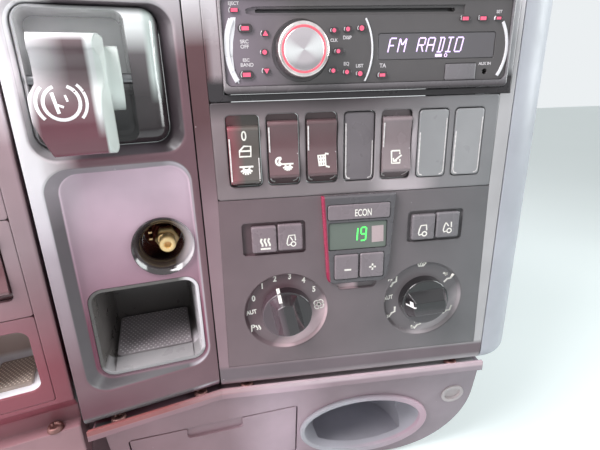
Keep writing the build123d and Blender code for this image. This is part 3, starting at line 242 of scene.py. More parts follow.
def spun_metal(name, bright, dark):
    """A turned disc about its own Z, with a painted highlight in two fans to the left and right where its
    tool marks would shine.
    """
    fans, fan_turn, fan_edge, ring_scale = 2, -0.35, -0.2, 6000.0
    tree, shader, where = new_material(name)
    turn = add(tree, "ShaderNodeTexGradient", [("Vector", where)], gradient_type="RADIAL").outputs["Fac"]
    pairs = [(0, turn), (1, 2 * pi * fans), (2, fan_turn)]
    angle = add(tree, "ShaderNodeMath", pairs, operation="MULTIPLY_ADD").outputs[0]
    fan = add(tree, "ShaderNodeMath", [(0, angle)], operation="COSINE").outputs[0]
    fan = ramp(tree, fan, fan_edge, 1.0)
    radius = add(tree, "ShaderNodeVectorMath", [(0, where)], operation="LENGTH").outputs["Value"]
    pairs = [("W", radius), ("Scale", ring_scale)]
    rings = add(tree, "ShaderNodeTexNoise", pairs, noise_dimensions="1D").outputs[0]
    fanned = mix(tree, fan, screen(*dark), screen(*bright))
    colour = shaded(tree, fanned, vary(tree, rings, 0.9, 1.05))
    feed(tree, shader, [("Base Color", colour), ("Metallic", 0.7), ("Roughness", 0.24)])


def lit(name, colour, strength, body=None):
    """A lens or a segment of print that is lit from behind, a little uneven."""
    patch_size, dimmest, brightest = 2.5, 0.8, 1.1
    tree, shader, where = new_material(name)
    glow = shaded(tree, screen(*colour), vary(tree, noise(tree, where, patch_size), dimmest, brightest))
    feed(tree, shader, [("Emission Color", glow), ("Emission Strength", strength)])
    feed(tree, shader, [("Base Color", screen(*(body or colour))), ("Roughness", 0.3)])


def ink_and_painted_light(name, colour, worn=0.25):
    """Ink on plastic, slightly worn away; also flat painted highlights and a painted reflection."""
    patch_size, underneath = 1.6, (150, 140, 142)
    tree, shader, where = new_material(name)
    thin = ramp(tree, noise(tree, where, patch_size, 3.0), 0.35, 0.6, worn, 0.0)
    ink = mix(tree, thin, screen(*colour), screen(*underneath))
    feed(tree, shader, [("Base Color", ink), ("Roughness", 0.55)])


# Slanting directions on the front: to the lower right, and across the fan dial's bar and the pod
low_right = (front.right - front.up).normalized()
bar_side = (front.right * 0.982 + front.up * 0.191).normalized()
pod_side = (front.right * 61 + front.up * 3.6).normalized()

# Most of these zones are painted light: glare, highlights, sheen, light from one side, shade and a red cast
# Where the colour of a moulding changes: limits as face, direction, start and end of the change
# Left column: its face, the dish and the walls of the brake opening
column_front = [(column, column.out, -12, -8)]
# Painted glare of a window over the upper left of the column's face
column_glare = column_front + [(column, column.right, -68, -88), (column, column.up, 24, 96)]
# Painted highlight along the column's rounded left edge
column_edge = column_front + [(column, column.right, -86, -90), (column, column.up, -60, 60)]
# Painted light from above: the column's face paler towards its top
column_top = column_front + [(column, column.up, 136, 168)]
# Painted red cast of reflected light, darker towards the column's lower left
column_foot = [(column, column.up, -74, -92), (column, column.right, -30, -80)]
# Painted sheen over the dish's floor, paler at its top; towards its lower left less sheen and a painted red
# cast; painted shade at its foot
dish = [(column, column.out, -0.6, -1.6), (column, column.up, 82, 78)]
dish_low = dish + [(column, column.up, 60, -34)]
dish_foot = dish + [(column, column.up, -66, -76)]
# Painted shade on the dish's walls, paler towards their top, and painted light on the right wall
dish_wall = [
    (column, column.out, -0.2, -0.8), (column_floor, column_floor.out, 0.6, 1.8), (column, column.up, 82, 78),
]
dish_wall_top = dish_wall + [(column, column.up, 40, 66)]
dish_wall_right = dish_wall + [(column, column.right, -22, -12)]
# Painted shade on the walls of the brake opening, darkest at the lower right, with painted glare at their
# upper left
mouth_wall = [(column, column.out, -0.4, -1.4), (column, column.up, 78, 82)]
mouth_glare = mouth_wall + [(column, column.right, -66, -78), (column, column.up, 80, 100)]
mouth_shade = mouth_wall + [(column, column.right, -30, -18), (column, column.up, 150, 130)]

# Brake housing and lever
# Painted light and shade on the glossy brake housing: shade over its lower part, a highlight over its top, a
# highlight stripe near its right side, the slot's lit back and glare on its left wall
housing_low = [(column, column.up, 140, 116)]
housing_top = [(column, column.up, 140, 154), (column, column.right, -15, -22)]
housing_stripe = [
    (column, column.right, -23.5, -20.5), (column, column.right, -15, -17.5), (column, column.up, 112, 128),
]
housing_left = [(column, column.right, -60, -70), (column, column.up, 84, 112)]
slot_light = [(column, column.out, -12, -15), (column, column.right, -66, -56), (column, column.up, 120, 128)]
# Painted light on the lever: a red cast low down, glare at the upper left and down the left side, highlights
# on its top and along an edge, and light on its right flank
lever_low = [(column, column.up, 120, 98)]
lever_glare = [(column, column.right, -64, -82), (column, column.up, 114, 136)]
lever_left = [(column, column.right, -81, -85), (column, column.up, 94, 112)]
lever_top = [(column, column.up, 145.5, 149)]
lever_edge = [(column, column.right, -55.5, -53.0), (column, column.up, 96, 110)]
lever_flank = [(column, column.right, -51.6, -50.4)]

# Socket and tray
# Painted highlight on the right of the glossy socket ring
ring_light = [(column_floor, column_floor.right, -22, -10)]
fitting_deep = [(column_floor, column_floor.out, -24, -28)]
# Painted light on the tray's right inner wall and a painted highlight on its sill
tray_right = [(column_floor, column_floor.right, -19, -15), (column_floor, column_floor.out, -34, -22)]
tray_sill = [(column_floor, column_floor.out, -17, -15), (column_floor, column_floor.up, -66, -69)]
# Paler towards the top right of the tray
tray_pale_top = [
    (column_floor, column_floor.right, -22, -14), (column_floor, column_floor.up, -26, -14),
    (column_floor, column_floor.out, -24, -6),
]

# Centre frame, radio surround and switch row
# Painted light from above: the frame and the radio surround paler towards their top
frame_top = [(front, front.up, 144, 172)]
frame_foot = [(front, front.up, -86, -90), (front, front.up, -104, -98)]
frame_dark_edge = [(front, front.right, -93, -97), (front, front.up, 40, 100)]
# Painted shade under the radio, over the foot of its surround and of its bezel
surround_foot = [(front, front.up, 128, 122)]
bezel_foot = [(front, front.up, 121, 117)]
plate_shade = [(front, front.up, 98, 110), (front, front.right, 60, 0)]
# Painted glare over the switch plate round rocker 5
plate_glare = [(front, front.right, 6, 22), (front, front.right, 60, 42), (front, front.up, 104, 92)]
# Painted shade in the switches' wells
well = [(front, front.out, -0.8, -2.2)]

# Climate panel: its round recesses, both dials and the pod
recess = [(front, front.out, -0.3, -1.0)]
left_recess = recess + [(front, front.right, 2, -2)]
# Painted light on the lower right of the round recesses, which faces the light, and painted shade on their
# upper left
recess_light = left_recess + [(front, low_right, 3, 15)]
recess_dark = left_recess + [(front, low_right, -10, -22)]
air_recess_light = recess + [(front, low_right, 80, 90)]
# Painted shade over the right of the fan dial's bar and disc, and over the upper part of the air dial
fan_dial_dark = [(front, bar_side, -66, -62)]
air_dial_dark = [(front, front.right, 10, 14), (front, front.up, -50, -42)]
# A white mark on the air dial, widened by painted glare round it
air_mark = [
    (front, front.right, 37.4, 37.8), (front, front.right, 43.2, 42.8),
    (front, front.up, -42.6, -42.2), (front, front.up, -41.0, -41.4),
]
air_mark_post = [
    (front, front.right, 39.4, 39.8), (front, front.right, 41.4, 41.0),
    (front, front.up, -42.0, -41.6), (front, front.up, -38.2, -38.6),
]
pod_left = [(front, pod_side, -21.8, -22.8)]

# Lower panel, cup niche and side wing
# Painted highlight along the lower panel's lip
panel_lip = [(front, front.up, -113.5, -111.5)]
panel_sheen = [(panel, panel.right, -62, -24), (panel, panel.right, 26, -8)]
# Painted red cast of reflected light on the left of the ledge
ledge_red = [(front, front.up, -113.5, -112.5), (front, front.right, -60, -150)]
niche_rim = [(cup, cup.out, -1.0, 0.4), (cup, cup.right, 40, 120)]
# Painted red cast of reflected light, strongest low on the wing and weaker at its foot
wing_low = [(wing, wing.up, 30, -55)]
wing_foot = [(wing, wing.up, -96, -108)]
# Painted shade along the wing's edge by the groove to the column
wing_groove = [(wing, wing.right, -103, -99.5)]
# Painted glare at the top of the wing
wing_glare = [(wing, wing.out, -6, -3), (wing, wing.up, 92, 122)]
wing_inner = [(wing, wing.right, -113, -117)]
wing_inside = wing_inner + [(wing, wing.out, -2.5, -4.5), (wing, wing.up, -20, -24)]
# Painted highlight on the wing tray's sill
wing_sill = wing_inner + [(wing, wing.out, -1.5, -2.5), (wing, wing.up, -60, -64)]

# Plastics: name, colour at the left, colour at the right if it changes; that change is a painted colour cast
moulded("carrier_black", (64, 62, 64), roughness=0.6, grain=0.3)
moulded(
    "column_mauve", (121, 89, 97), roughness=0.34, dust=0.8, coat=0.25, edge=1.2,
    zones=[
        # Painted sheen, red cast and shade in the dish; painted red cast, highlight, glare and light from
        # above on the face; painted shade and light on the walls
        (dish, (220, 192, 208)), (dish_low, (126, 64, 86)), (dish_foot, (124, 98, 108)),
        (column_foot, (104, 58, 70)), (column_edge, (206, 194, 204)),
        (column_glare, (252, 249, 252)), (column_top, (204, 196, 201)),
        (dish_wall, (94, 90, 93)), (dish_wall_top, (150, 143, 148)), (dish_wall_right, (206, 196, 205)),
        (mouth_wall, (98, 88, 94)), (mouth_shade, (66, 56, 61)), (mouth_glare, (250, 248, 250)),
    ],
)
moulded(
    "frame_grey", (146, 118, 126), (189, 187, 189), roughness=0.38, dust=0.5, coat=0.1, edge=1.0,
    span=(-112, 90),
    # frame_top is painted light from above
    zones=[(frame_dark_edge, (96, 66, 70)), (frame_foot, (112, 98, 104)), (frame_top, (226, 222, 226))],
)
moulded(
    "surround_grey", (150, 126, 132), (182, 181, 184), roughness=0.3, dust=0.4, coat=0.2, edge=1.2,
    # frame_top is painted light from above, surround_foot painted shade under the radio
    zones=[(frame_dark_edge, (96, 66, 70)), (surround_foot, (54, 49, 52)), (frame_top, (222, 218, 222))],
)
moulded("cheek_grey", (186, 188, 196), roughness=0.42)
moulded(
    "panel_mauve", (147, 109, 117), (160, 147, 155), roughness=0.38, dust=0.4, coat=0.1, edge=1.2,
    # Painted sheen, a painted highlight on the lip and a painted red cast on the ledge
    zones=[(panel_sheen, (196, 170, 182)), (panel_lip, (206, 184, 192)), (ledge_red, (156, 92, 92))],
)
moulded(
    "insert_dark", (122, 92, 99), (111, 111, 113), roughness=0.34, dust=0.2, coat=0.2, edge=1.0,
    # Painted light and shade in the round recesses
    zones=[(recess_light, (224, 196, 202)), (recess_dark, (96, 74, 80)), (air_recess_light, (176, 168, 171))],
)
moulded(
    "switch_plate", (143, 120, 124), (136, 137, 139), roughness=0.34, dust=0.2, coat=0.2, edge=1.8,
    # Painted glare round rocker 5, painted shade under the radio and in the wells
    zones=[(plate_glare, (190, 180, 184)), (plate_shade, (80, 71, 74)), (well, (50, 44, 47))],
)
moulded("switch_dark", (122, 82, 87), (94, 82, 84), roughness=0.2, grain=0.04, coat=0.8, edge=0.9)
# Rocker 5: a paler copy of the dark rockers' colour, painted glare
moulded("switch_glare", (158, 132, 136), (138, 128, 131), roughness=0.22, grain=0.04, coat=0.8)
# Rocker 1: a painted red cast of reflected light over its left part
moulded(
    "switch_red_cast", (168, 84, 96), (96, 88, 84), roughness=0.2, grain=0.04, coat=0.8, edge=0.9,
    span=(-90, -78),
)
moulded("blank_dark", (121, 114, 118), roughness=0.3, coat=0.3, edge=1.6)
moulded("blank_grey", (147, 143, 145), (162, 162, 164), roughness=0.32, coat=0.3, edge=1.6)
moulded(
    "fan_black", (84, 66, 74), roughness=0.18, grain=0.02, coat=0.9, edge=1.0,
    # Painted shade over the right of the bar
    zones=[(fan_dial_dark, (34, 25, 29))],
)
moulded(
    "air_black", (74, 67, 71), roughness=0.18, grain=0.02, coat=0.9, edge=1.0,
    # Painted shade over the dial's upper part, and a white mark with painted glare round it
    zones=[(air_dial_dark, (28, 25, 27)), (air_mark, (255, 250, 250)), (air_mark_post, (255, 250, 250))],
)
moulded(
    "pod_dark", (96, 86, 91), (92, 92, 95), roughness=0.26, coat=0.4, edge=0.9,
    zones=[(pod_left, (160, 36, 74))],
)
moulded("key_grey", (150, 122, 131), (122, 122, 125), roughness=0.26, coat=0.4, edge=1.4)
moulded(
    "gloss_black", (50, 42, 43), roughness=0.14, grain=0.02, coat=1.0, edge=0.8,
    # Painted highlight on the ring's right side
    zones=[(ring_light, (186, 176, 181))],
)
moulded(
    "housing_dark", (98, 90, 93), roughness=0.16, grain=0.02, coat=0.9, edge=1.2,
    # Painted shade, highlights and glare over the housing
    zones=[
        (housing_low, (48, 38, 41)), (housing_top, (246, 248, 248)), (housing_stripe, (214, 224, 220)),
        (slot_light, (252, 252, 252)), (housing_left, (248, 247, 248)),
    ],
)
moulded(
    "lever_mauve", (112, 94, 98), roughness=0.2, grain=0.02, coat=0.5, edge=2.0,
    # Painted red cast, glare, highlights and light over the lever
    zones=[
        (lever_low, (120, 66, 78)), (lever_glare, (246, 242, 245)), (lever_left, (244, 240, 243)),
        (lever_top, (250, 248, 250)), (lever_edge, (238, 240, 240)), (lever_flank, (230, 238, 233)),
    ],
)
moulded("radio_black", (133, 120, 131), (88, 84, 85), roughness=0.2, grain=0.03, coat=0.5, span=(-84, -40))
moulded(
    "bezel_grey", (158, 148, 151), (122, 119, 123), roughness=0.26, grain=0.04, coat=0.3,
    # Painted shade under the radio
    zones=[(bezel_foot, (66, 59, 62))],
)
moulded("key_black", (52, 42, 47), roughness=0.12, grain=0.0, coat=1.0, edge=0.4)
moulded("display_dark", (98, 94, 98), roughness=0.12, grain=0.0, mottle=0.03, coat=0.6)
moulded("display_green", (108, 116, 108), roughness=0.16, grain=0.0, coat=0.5)
moulded(
    "niche_grey", (176, 172, 180), (186, 184, 192), roughness=0.34, edge=1.6,
    zones=[(niche_rim, (200, 168, 182))],
)
moulded(
    "bin_dark", (104, 99, 97), roughness=0.3, coat=0.2,
    # Paler top right, painted light on the right wall and a painted highlight on the sill
    zones=[(tray_pale_top, (226, 224, 222)), (tray_right, (240, 232, 237)), (tray_sill, (172, 168, 170))],
)
moulded("mat_rubber", (176, 167, 171), roughness=0.4, grain=0.3)
moulded("mat_dots", (236, 230, 232), roughness=0.3, grain=0.1)
moulded("mat_beige", (178, 162, 152), roughness=0.45, grain=0.3)
moulded("mat_beige_dots", (250, 240, 230), roughness=0.4, grain=0.1)
moulded("plug_grey", (196, 186, 187), roughness=0.38, edge=1.0)
moulded("nozzle_brass", (255, 220, 156), roughness=0.22, grain=0.04, coat=0.6, edge=1.0)
moulded("strip_foam", (78, 52, 58), roughness=0.8, grain=0.5)
moulded("arc_white", (244, 242, 246), roughness=0.2, coat=0.5)
moulded(
    "wing_mauve", (170, 146, 152), roughness=0.36, dust=0.6, coat=0.15, edge=1.2,
    zones=[
        # Painted red cast, shade by the groove and glare at the top
        (wing_low, (142, 70, 82)), (wing_foot, (160, 120, 126)), (wing_groove, (78, 54, 60)),
        (wing_glare, (222, 214, 220)),
    ],
)
moulded(
    "wing_tray_mauve", (154, 126, 133), roughness=0.36, dust=0.6, coat=0.15, edge=1.2,
    # wing_low is a painted red cast and wing_sill a painted highlight
    zones=[(wing_low, (142, 70, 82)), (wing_inside, (196, 178, 172)), (wing_sill, (244, 244, 250))],
)

# Metals, with their roughness
metal("case_steel", (168, 170, 172), 0.4)
metal("pin_steel", (150, 150, 152), 0.3)
metal("knob_metal", (250, 240, 238), 0.16)
metal("socket_brass", (255, 214, 158), 0.24, zones=[(fitting_deep, (70, 34, 28))])
metal("screw_bronze", (150, 112, 108), 0.52)
spun_metal("knob_spun", (255, 255, 255), (214, 205, 209))

# Lit signs, with their strength, and prints, painted highlights and a painted reflection, with how much is
# worn away
lit("key_red", (255, 108, 140), 1.1, (120, 40, 56))
lit("glow_red", (250, 112, 128), 0.9, (160, 60, 70))
lit("glow_green", (90, 255, 110), 1.0)
lit("glow_lavender", (226, 200, 250), 0.9)
ink_and_painted_light("print_white", (255, 250, 242), 0.12)
ink_and_painted_light("grey_ink_and_highlight", (228, 222, 225))
ink_and_painted_light("print_lever", (252, 248, 250), 0.15)
ink_and_painted_light("edge_shine", (244, 238, 236), 0.35)
ink_and_painted_light("pink_reflection", (196, 176, 178), 0.1)

# columns: CAD node, material
finish_table = [
    ("carrier", "carrier_black"),
    ("centre_frame", "frame_grey"),
    ("right_cheek", "cheek_grey"),
    ("column_housing", "column_mauve"),
    ("brake_housing", "housing_dark"),
    ("brake_pin", "pin_steel"),
    ("brake_lever", "lever_mauve"),
    ("socket_ring", "gloss_black"),
    ("socket_fitting", "socket_brass"),
    ("tray_bin", "bin_dark"),
    ("tray_mat", "mat_rubber"),
    ("radio_surround", "surround_grey"),
    ("radio_case", "case_steel"),
    ("radio_bezel", "bezel_grey"),
    ("radio_face", "radio_black"),
    ("radio_display", "display_dark"),
    ("radio_door", "key_grey"),
    ("radio_knob", "knob_metal"),
    ("radio_keys", "key_black"),
    ("radio_trim", "arc_white"),
    ("switch_panel", "switch_plate"),
    ("switch_rocker_1", "switch_red_cast"),
    ("switch_rocker_2", "switch_dark"),
    ("switch_rocker_3", "switch_dark"),
    ("switch_blank_4", "blank_dark"),
    ("switch_rocker_5", "switch_glare"),
    ("switch_blank_6", "blank_grey"),
    ("switch_blank_7", "blank_grey"),
    ("climate_panel", "insert_dark"),
    ("fan_dial", "fan_black"),
    ("air_dial", "air_black"),
    ("display_pod", "pod_dark"),
    ("econ_key", "key_grey"),
    ("temp_keys", "key_grey"),
    ("climate_display", "display_green"),
    ("vent_keys_left", "key_grey"),
    ("vent_keys_right", "key_grey"),
    ("lower_panel", "panel_mauve"),
    ("ashtray_lid", "panel_mauve"),
    ("ashtray_bin", "case_steel"),
    ("cup_niche", "niche_grey"),
    ("round_plug", "plug_grey"),
    ("wing_frame", "wing_mauve"),
    ("wing_blank", "wing_mauve"),
    ("wing_plate", "wing_mauve"),
    ("wing_switch", "switch_dark"),
    ("wing_tray", "wing_tray_mauve"),
    ("wing_mat", "mat_beige"),
]
for node, finish in finish_table:
    nodes[node].data.materials.clear()
    nodes[node].data.materials.append(materials[finish])


# Helpers for the pieces
def make_piece(name, mesh, finish, body="console", place=None):
    """Links a mesh as a named piece of the console that rides on a body."""
    piece = bpy.data.objects.new(name, mesh)
    if place is not None:
        piece.matrix_world = place
    scene.collection.objects.link(piece)
    mesh.materials.append(materials[finish])
    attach(piece, body)


def finished(name, shape):
    """Turns an edited shape into a mesh and frees the shape."""
    mesh = bpy.data.meshes.new(name)
    shape.to_mesh(mesh)
    shape.free()
    return mesh


def turned(middle, x, y, turn):
    """The place at x and y from a middle, after a turn about it in degrees."""
    c, s = cos(radians(turn)), sin(radians(turn))
    return (middle[0] + x * c - y * s, middle[1] + x * s + y * c)


def arc(middle, radius, start, end, steps):
    """Points of an arc in millimetres, with its ends in degrees anticlockwise from the right."""
    turns = [radians(start + (end - start) * k / steps) for k in range(steps + 1)]
    return [(middle[0] + radius * cos(t), middle[1] + radius * sin(t)) for t in turns]


class Print:
    """Strokes, fills and letters laid on the surface of some CAD nodes, as one thin mesh."""

    lift = 0.08  # above the surface, in millimetres
    reach = 60.0  # how far in front of the face the search for the surface starts
    capital_share = 0.72  # height of a capital letter in a font of size 1

    def __init__(self, face, *carriers):
        self.face = face
        self.mesh = bmesh.new()
        corners, polygons = [], []
        for node in carriers:
            data = nodes[node].data
            polygons += [[v + len(corners) for v in p.vertices] for p in data.polygons]
            corners += [v.co for v in data.vertices]
        self.surface = BVHTree.FromPolygons(corners, polygons)

    def put(self, right, up):
        """The point of the surface in front of that place, lifted a little."""
        face = self.face
        hit = self.surface.ray_cast(face.at(right, up, self.reach), -face.out)[0]
        return (hit if hit is not None else face.at(right, up)) + face.out * self.lift * MM

    def fill(self, points):
        self.mesh.faces.new([self.mesh.verts.new(self.put(*p)) for p in points])

    def stroke(self, points, width, closed=False):
        """A line of even width through the points."""
        count = len(points)
        sides = []
        for k, (x, y) in enumerate(points):
            before = points[k - 1] if k or closed else points[k]
            after = points[(k + 1) % count] if k < count - 1 or closed else points[k]
            along = Vector((after[0] - before[0], after[1] - before[1])).normalized()
            across = Vector((-along.y, along.x)) * width / 2
            sides.append([self.mesh.verts.new(self.put(x + s * across.x, y + s * across.y)) for s in (1, -1)])
        for k in range(count if closed else count - 1):
            here, there = sides[k], sides[(k + 1) % count]
            self.mesh.faces.new((here[0], here[1], there[1], there[0]))

    def drawing(self, middle, scale, strokes, width, turn=0.0):
        """Several strokes about a middle; a stroke whose last point is its first is closed."""
        for points in strokes:
            moved = [turned(middle, scale * x, scale * y, turn) for x, y in points]
            closed = points[0] == points[-1]
            self.stroke(moved[:-1] if closed else moved, width, closed)

    def letters(self, text, middle, height, turn=0.0, spread=1.0, bold=0.0):
        """Letters centred on a place, of a capital height in millimetres."""
        curve = bpy.data.curves.new("letters", "FONT")
        curve.body = text
        curve.size = height / self.capital_share
        curve.offset = bold
        curve.align_x, curve.align_y = "CENTER", "CENTER"
        holder = bpy.data.objects.new("letters", curve)
        drawn = bpy.data.meshes.new_from_object(holder)
        places = [turned(middle, v.co.x * spread, v.co.y, turn) for v in drawn.vertices]
        corners = [self.mesh.verts.new(self.put(*place)) for place in places]
        for p in drawn.polygons:
            self.mesh.faces.new([corners[v] for v in p.vertices])
        bpy.data.objects.remove(holder)
        bpy.data.curves.remove(curve)
        bpy.data.meshes.remove(drawn)

    def make(self, name, finish, body="console"):
        bmesh.ops.recalc_face_normals(self.mesh, faces=self.mesh.faces)
        make_piece(name, finished(name, self.mesh), finish, body)


LOBES = 6


def lathe(name, profile, place, finish, steps=48, lobes=None, ring_shaped=False):
    """Turns a profile of radius and height, in millimetres, about the Z of its place.

    lobes gives how deep the lobes are cut into the rings of the profile with that index, and a
    ring-shaped piece joins its profile's end to its start, where another has a flat end on both."""
    shape = bmesh.new()
    rings = []
    for k, (radius, height) in enumerate(profile):
        depth = (lobes or {}).get(k, 0.0)
        ring = []
        for turn in range(steps):
            angle = 2 * pi * turn / steps
            r = (radius - depth * (0.5 - 0.5 * cos(LOBES * angle))) * MM
            ring.append(shape.verts.new((r * cos(angle), r * sin(angle), height * MM)))
        rings.append(ring)
    if ring_shaped:
        rings.append(rings[0])
    else:
        shape.faces.new(rings[-1])
        shape.faces.new(reversed(rings[0]))
    for low, high in zip(rings, rings[1:]):
        for k in range(steps):
            after = (k + 1) % steps
            shape.faces.new((low[k], low[after], high[after], high[k]))
    bmesh.ops.recalc_face_normals(shape, faces=shape.faces)
    mesh = finished(name, shape)
    for polygon in mesh.polygons:
        polygon.use_smooth = len(polygon.vertices) == 4
    make_piece(name, mesh, finish, place=place)


# Screws in the ledges, standing upright: a flange, a low head and a six-lobed recess
screw_profile = [(5.4, 0.0), (5.4, 1.2), (5.2, 1.8), (4.9, 2.8), (4.4, 3.4), (3.0, 3.5), (3.0, 1.9)]
screw_lobes = {5: 0.8, 6: 0.8}  # depth of the lobes by the ring of the profile
ledge_top, wing_ledge_top = -112.0, -108.0
# columns: face, right, out, top of the ledge
screw_table = [
    (front, -88.8, -6.8, ledge_top),
    (front, 86.4, -6.8, ledge_top),
    (column, -75.9, -7.4, ledge_top),
    (column, -14.9, -7.4, ledge_top),
    (wing, -117.3, -4.5, wing_ledge_top),
]
for number, (face, right, out, top) in enumerate(screw_table, 1):
    place = Matrix.Translation(face.at(right, top, out))
    name = f"ledge_screw_{number}"
    lathe(name, screw_profile, place, "screw_bronze", lobes=screw_lobes)

# Bright hexagon and nozzle of the bare fitting in the socket
socket_axis = column_floor.matrix(-25.6, 17.4)
hexagon_profile = [(8.6, -25), (8.6, -17.5), (7.9, -16.8)]
lathe("fitting_hexagon", hexagon_profile, socket_axis, "nozzle_brass", steps=6)
nozzle_profile = [(5.6, -17.5), (5.6, -6.0), (5.0, -4.8), (2.8, -4.4), (2.4, -6.0), (2.0, -9.0)]
lathe("fitting_nozzle", nozzle_profile, socket_axis, "nozzle_brass", steps=24)

# Dark sealing strip behind the gap between the side wing's foot and the lower panel
strip_corners = [(-188, -6), (-146, -12), (-146, -78), (-192, -72)]
strip_front, strip_back = -14, -16
strip = bmesh.new()
front_side = [strip.verts.new(panel.at(right, up, strip_front)) for right, up in strip_corners]
back_side = [strip.verts.new(panel.at(right, up, strip_back)) for right, up in strip_corners]
strip.faces.new(front_side)
strip.faces.new(reversed(back_side))
for k in range(len(strip_corners)):
    after = (k + 1) % len(strip_corners)
    strip.faces.new((front_side[k], front_side[after], back_side[after], back_side[k]))
bmesh.ops.recalc_face_normals(strip, faces=strip.faces)
make_piece("gap_strip", finished("gap_strip", strip), "strip_foam")

# Rubber mats with rows of raised dots
DOWN = Vector((0, 0, -1))
START_HEIGHT = Vector((0, 0, 0.05))  # metres above the mat, where the search for its top starts
ROW_SHARE, TIP_SHARE = 0.8, 0.8  # of the pitch between rows, and of a dot's half width in its height
FLAT = 0.9  # least upward part of the normal where a dot stands


def dotted(name, mat, finish, along, across, pitch, dot, margin):
    """Small pyramids over the top of a mat, with every other row set off by half a pitch.

    dot is a pyramid's half width, and margin is how far the mat must go on around it."""
    data = nodes[mat].data
    surface = BVHTree.FromPolygons([v.co for v in data.vertices], [list(p.vertices) for p in data.polygons])
    low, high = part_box(mat)
    middle = (low + high) / 2
    shape = bmesh.new()
    count = int((high - low).length / pitch / MM)
    for row in range(-count, count + 1):
        for place in range(-count, count + 1):
            offset = along * (place + 0.5 * (row % 2)) * pitch * MM + across * row * pitch * ROW_SHARE * MM
            hit, normal = surface.ray_cast(middle + offset + START_HEIGHT, DOWN)[:2]
            if hit is None or normal.z < FLAT:
                continue
            near = [hit + side * margin * MM for side in (along, -along, across, -across)]
            if any(surface.ray_cast(p + START_HEIGHT, DOWN)[0] is None for p in near):
                continue
            corners = [hit + side * dot * MM for side in (along, across, -along, -across)]
            base = [shape.verts.new(p) for p in corners]
            tip = shape.verts.new(hit + normal * dot * TIP_SHARE * MM)
            for k in range(4):
                shape.faces.new((base[k], base[(k + 1) % 4], tip))
    make_piece(name, finished(name, shape), finish)


dotted("tray_mat_dots", "tray_mat", "mat_dots", column_floor.right, -column_floor.out, 3.4, 0.8, 1.4)
dotted("wing_mat_dots", "wing_mat", "mat_beige_dots", wing.right, -wing.out, 2.6, 0.7, 1.2)

# Radio knob: a spun disc inside a lit ring
knob_place = (-39.0, 140.5)
knob_top = -(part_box("radio_knob")[0].y / MM - face_y)
knob_axis = front.matrix(*knob_place, knob_top)
disc_radius, disc_foot = 12.0, -0.7
disc_profile = [
    (disc_radius, disc_foot), (disc_radius, 0.1), (disc_radius - 0.5, 0.3), (6.0, 0.1), (0.6, 0.0),
]
lathe("knob_disc", disc_profile, knob_axis, "knob_spun", steps=72)
glow_inner, glow_outer = disc_radius + 0.1, disc_radius + 1.2
glow_profile = [(glow_inner, disc_foot), (glow_outer, disc_foot), (glow_outer, 0.1), (glow_inner, 0.2)]
lathe("knob_glow", glow_profile, knob_axis, "glow_red", steps=72, ring_shaped=True)

# Radio legends: short words by the keys, and the text in the display
legend = Print(front, "radio_face", "radio_display", "radio_door")
# columns: text, right, up, height
word_table = [
    ("SRC", -73.4, 146.2, 2.1),
    ("OFF", -73.4, 143.4, 2.1),
    ("BAND", -72.6, 133.0, 2.1),
    ("ESC", -73.0, 135.8, 1.8),
    ("CLK", -18.2, 146.2, 1.8),
    ("DISP", -9.8, 147.6, 2.0),
    ("EQ", -10.2, 132.4, 2.0),
    ("LIST", -1.6, 131.0, 2.0),
    ("TA", 13.6, 130.8, 2.4),
    ("AUX IN", 83.2, 130.6, 1.8),
    ("EJECT", -78.4, 167.0, 1.8),
    ("SET", 89.4, 161.4, 1.8),
]
for text, right, up, height in word_table:
    legend.letters(text, (right, up), height, bold=0.08)
legend.make("radio_words", "grey_ink_and_highlight")

# Lit signs in the middle of the radio's keys, a painted highlight at the left end of each key, and the white
# arc at the left
# columns: right, up, the sign's half width, its kind
key_table = [
    (-78.2, 163.4, 2.0, "bar"),
    (-72.4, 153.5, 2.2, "bar"),
    (-73.2, 127.4, 2.4, "bar"),
    (-60.5, 150.5, 1.7, "up"),
    (-61.5, 140.1, 1.4, "dot"),
    (-60.8, 129.4, 1.7, "down"),
    (-18.2, 151.8, 1.2, "dot"),
    (-9.6, 152.4, 1.3, "dot"),
    (-0.9, 152.8, 1.5, "dot"),
    (-15.6, 139.9, 1.2, "dot"),
    (-18.8, 128.6, 1.3, "dot"),
    (-10.0, 127.6, 1.3, "dot"),
    (-1.4, 126.4, 1.5, "dot"),
    (13.3, 125.2, 1.8, "bar"),
    (66.5, 157.6, 2.0, "bar"),
    (78.4, 157.6, 2.0, "bar"),
    (89.0, 157.6, 1.5, "bar"),
]
key_shapes = {
    "bar": [(-1, -0.5), (1, -0.5), (1, 0.5), (-1, 0.5)],
    "dot": arc((0, 0), 1, 0, 330, 11),
    "up": [(-1, -0.7), (1, -0.7), (0.1, 0.9), (-0.1, 0.9)],
    "down": [(-1, 0.7), (-0.1, -0.9), (0.1, -0.9), (1, 0.7)],
}
signs = Print(front, "radio_face", "radio_keys")
# Painted highlights at the left end of the keys
ends = Print(front, "radio_face", "radio_keys")
for right, up, half, kind in key_table:
    signs.fill([(right + half * x, up + half * y) for x, y in key_shapes[kind]])
    ends.stroke(arc((right - 1.0, up), half + 0.1, 125, 215, 6), 0.5)
signs.make("key_signs", "key_red")
ends.make("key_end_highlights", "grey_ink_and_highlight")
wedge = Print(front, "radio_face", "radio_trim")
outer_edge = [(-80.6, 159.6), (-83.6, 154.0), (-85.0, 146.0), (-84.6, 138.0), (-82.0, 129.0), (-78.6, 122.4)]
inner_edge = [(-77.9, 122.6), (-80.4, 130.0), (-80.9, 138.0), (-80.2, 146.0), (-78.6, 153.0), (-77.6, 159.6)]
for k in range(len(outer_edge) - 1):
    wedge.fill([outer_edge[k], outer_edge[k + 1], inner_edge[-2 - k], inner_edge[-1 - k]])
wedge.make("radio_wedge", "arc_white")

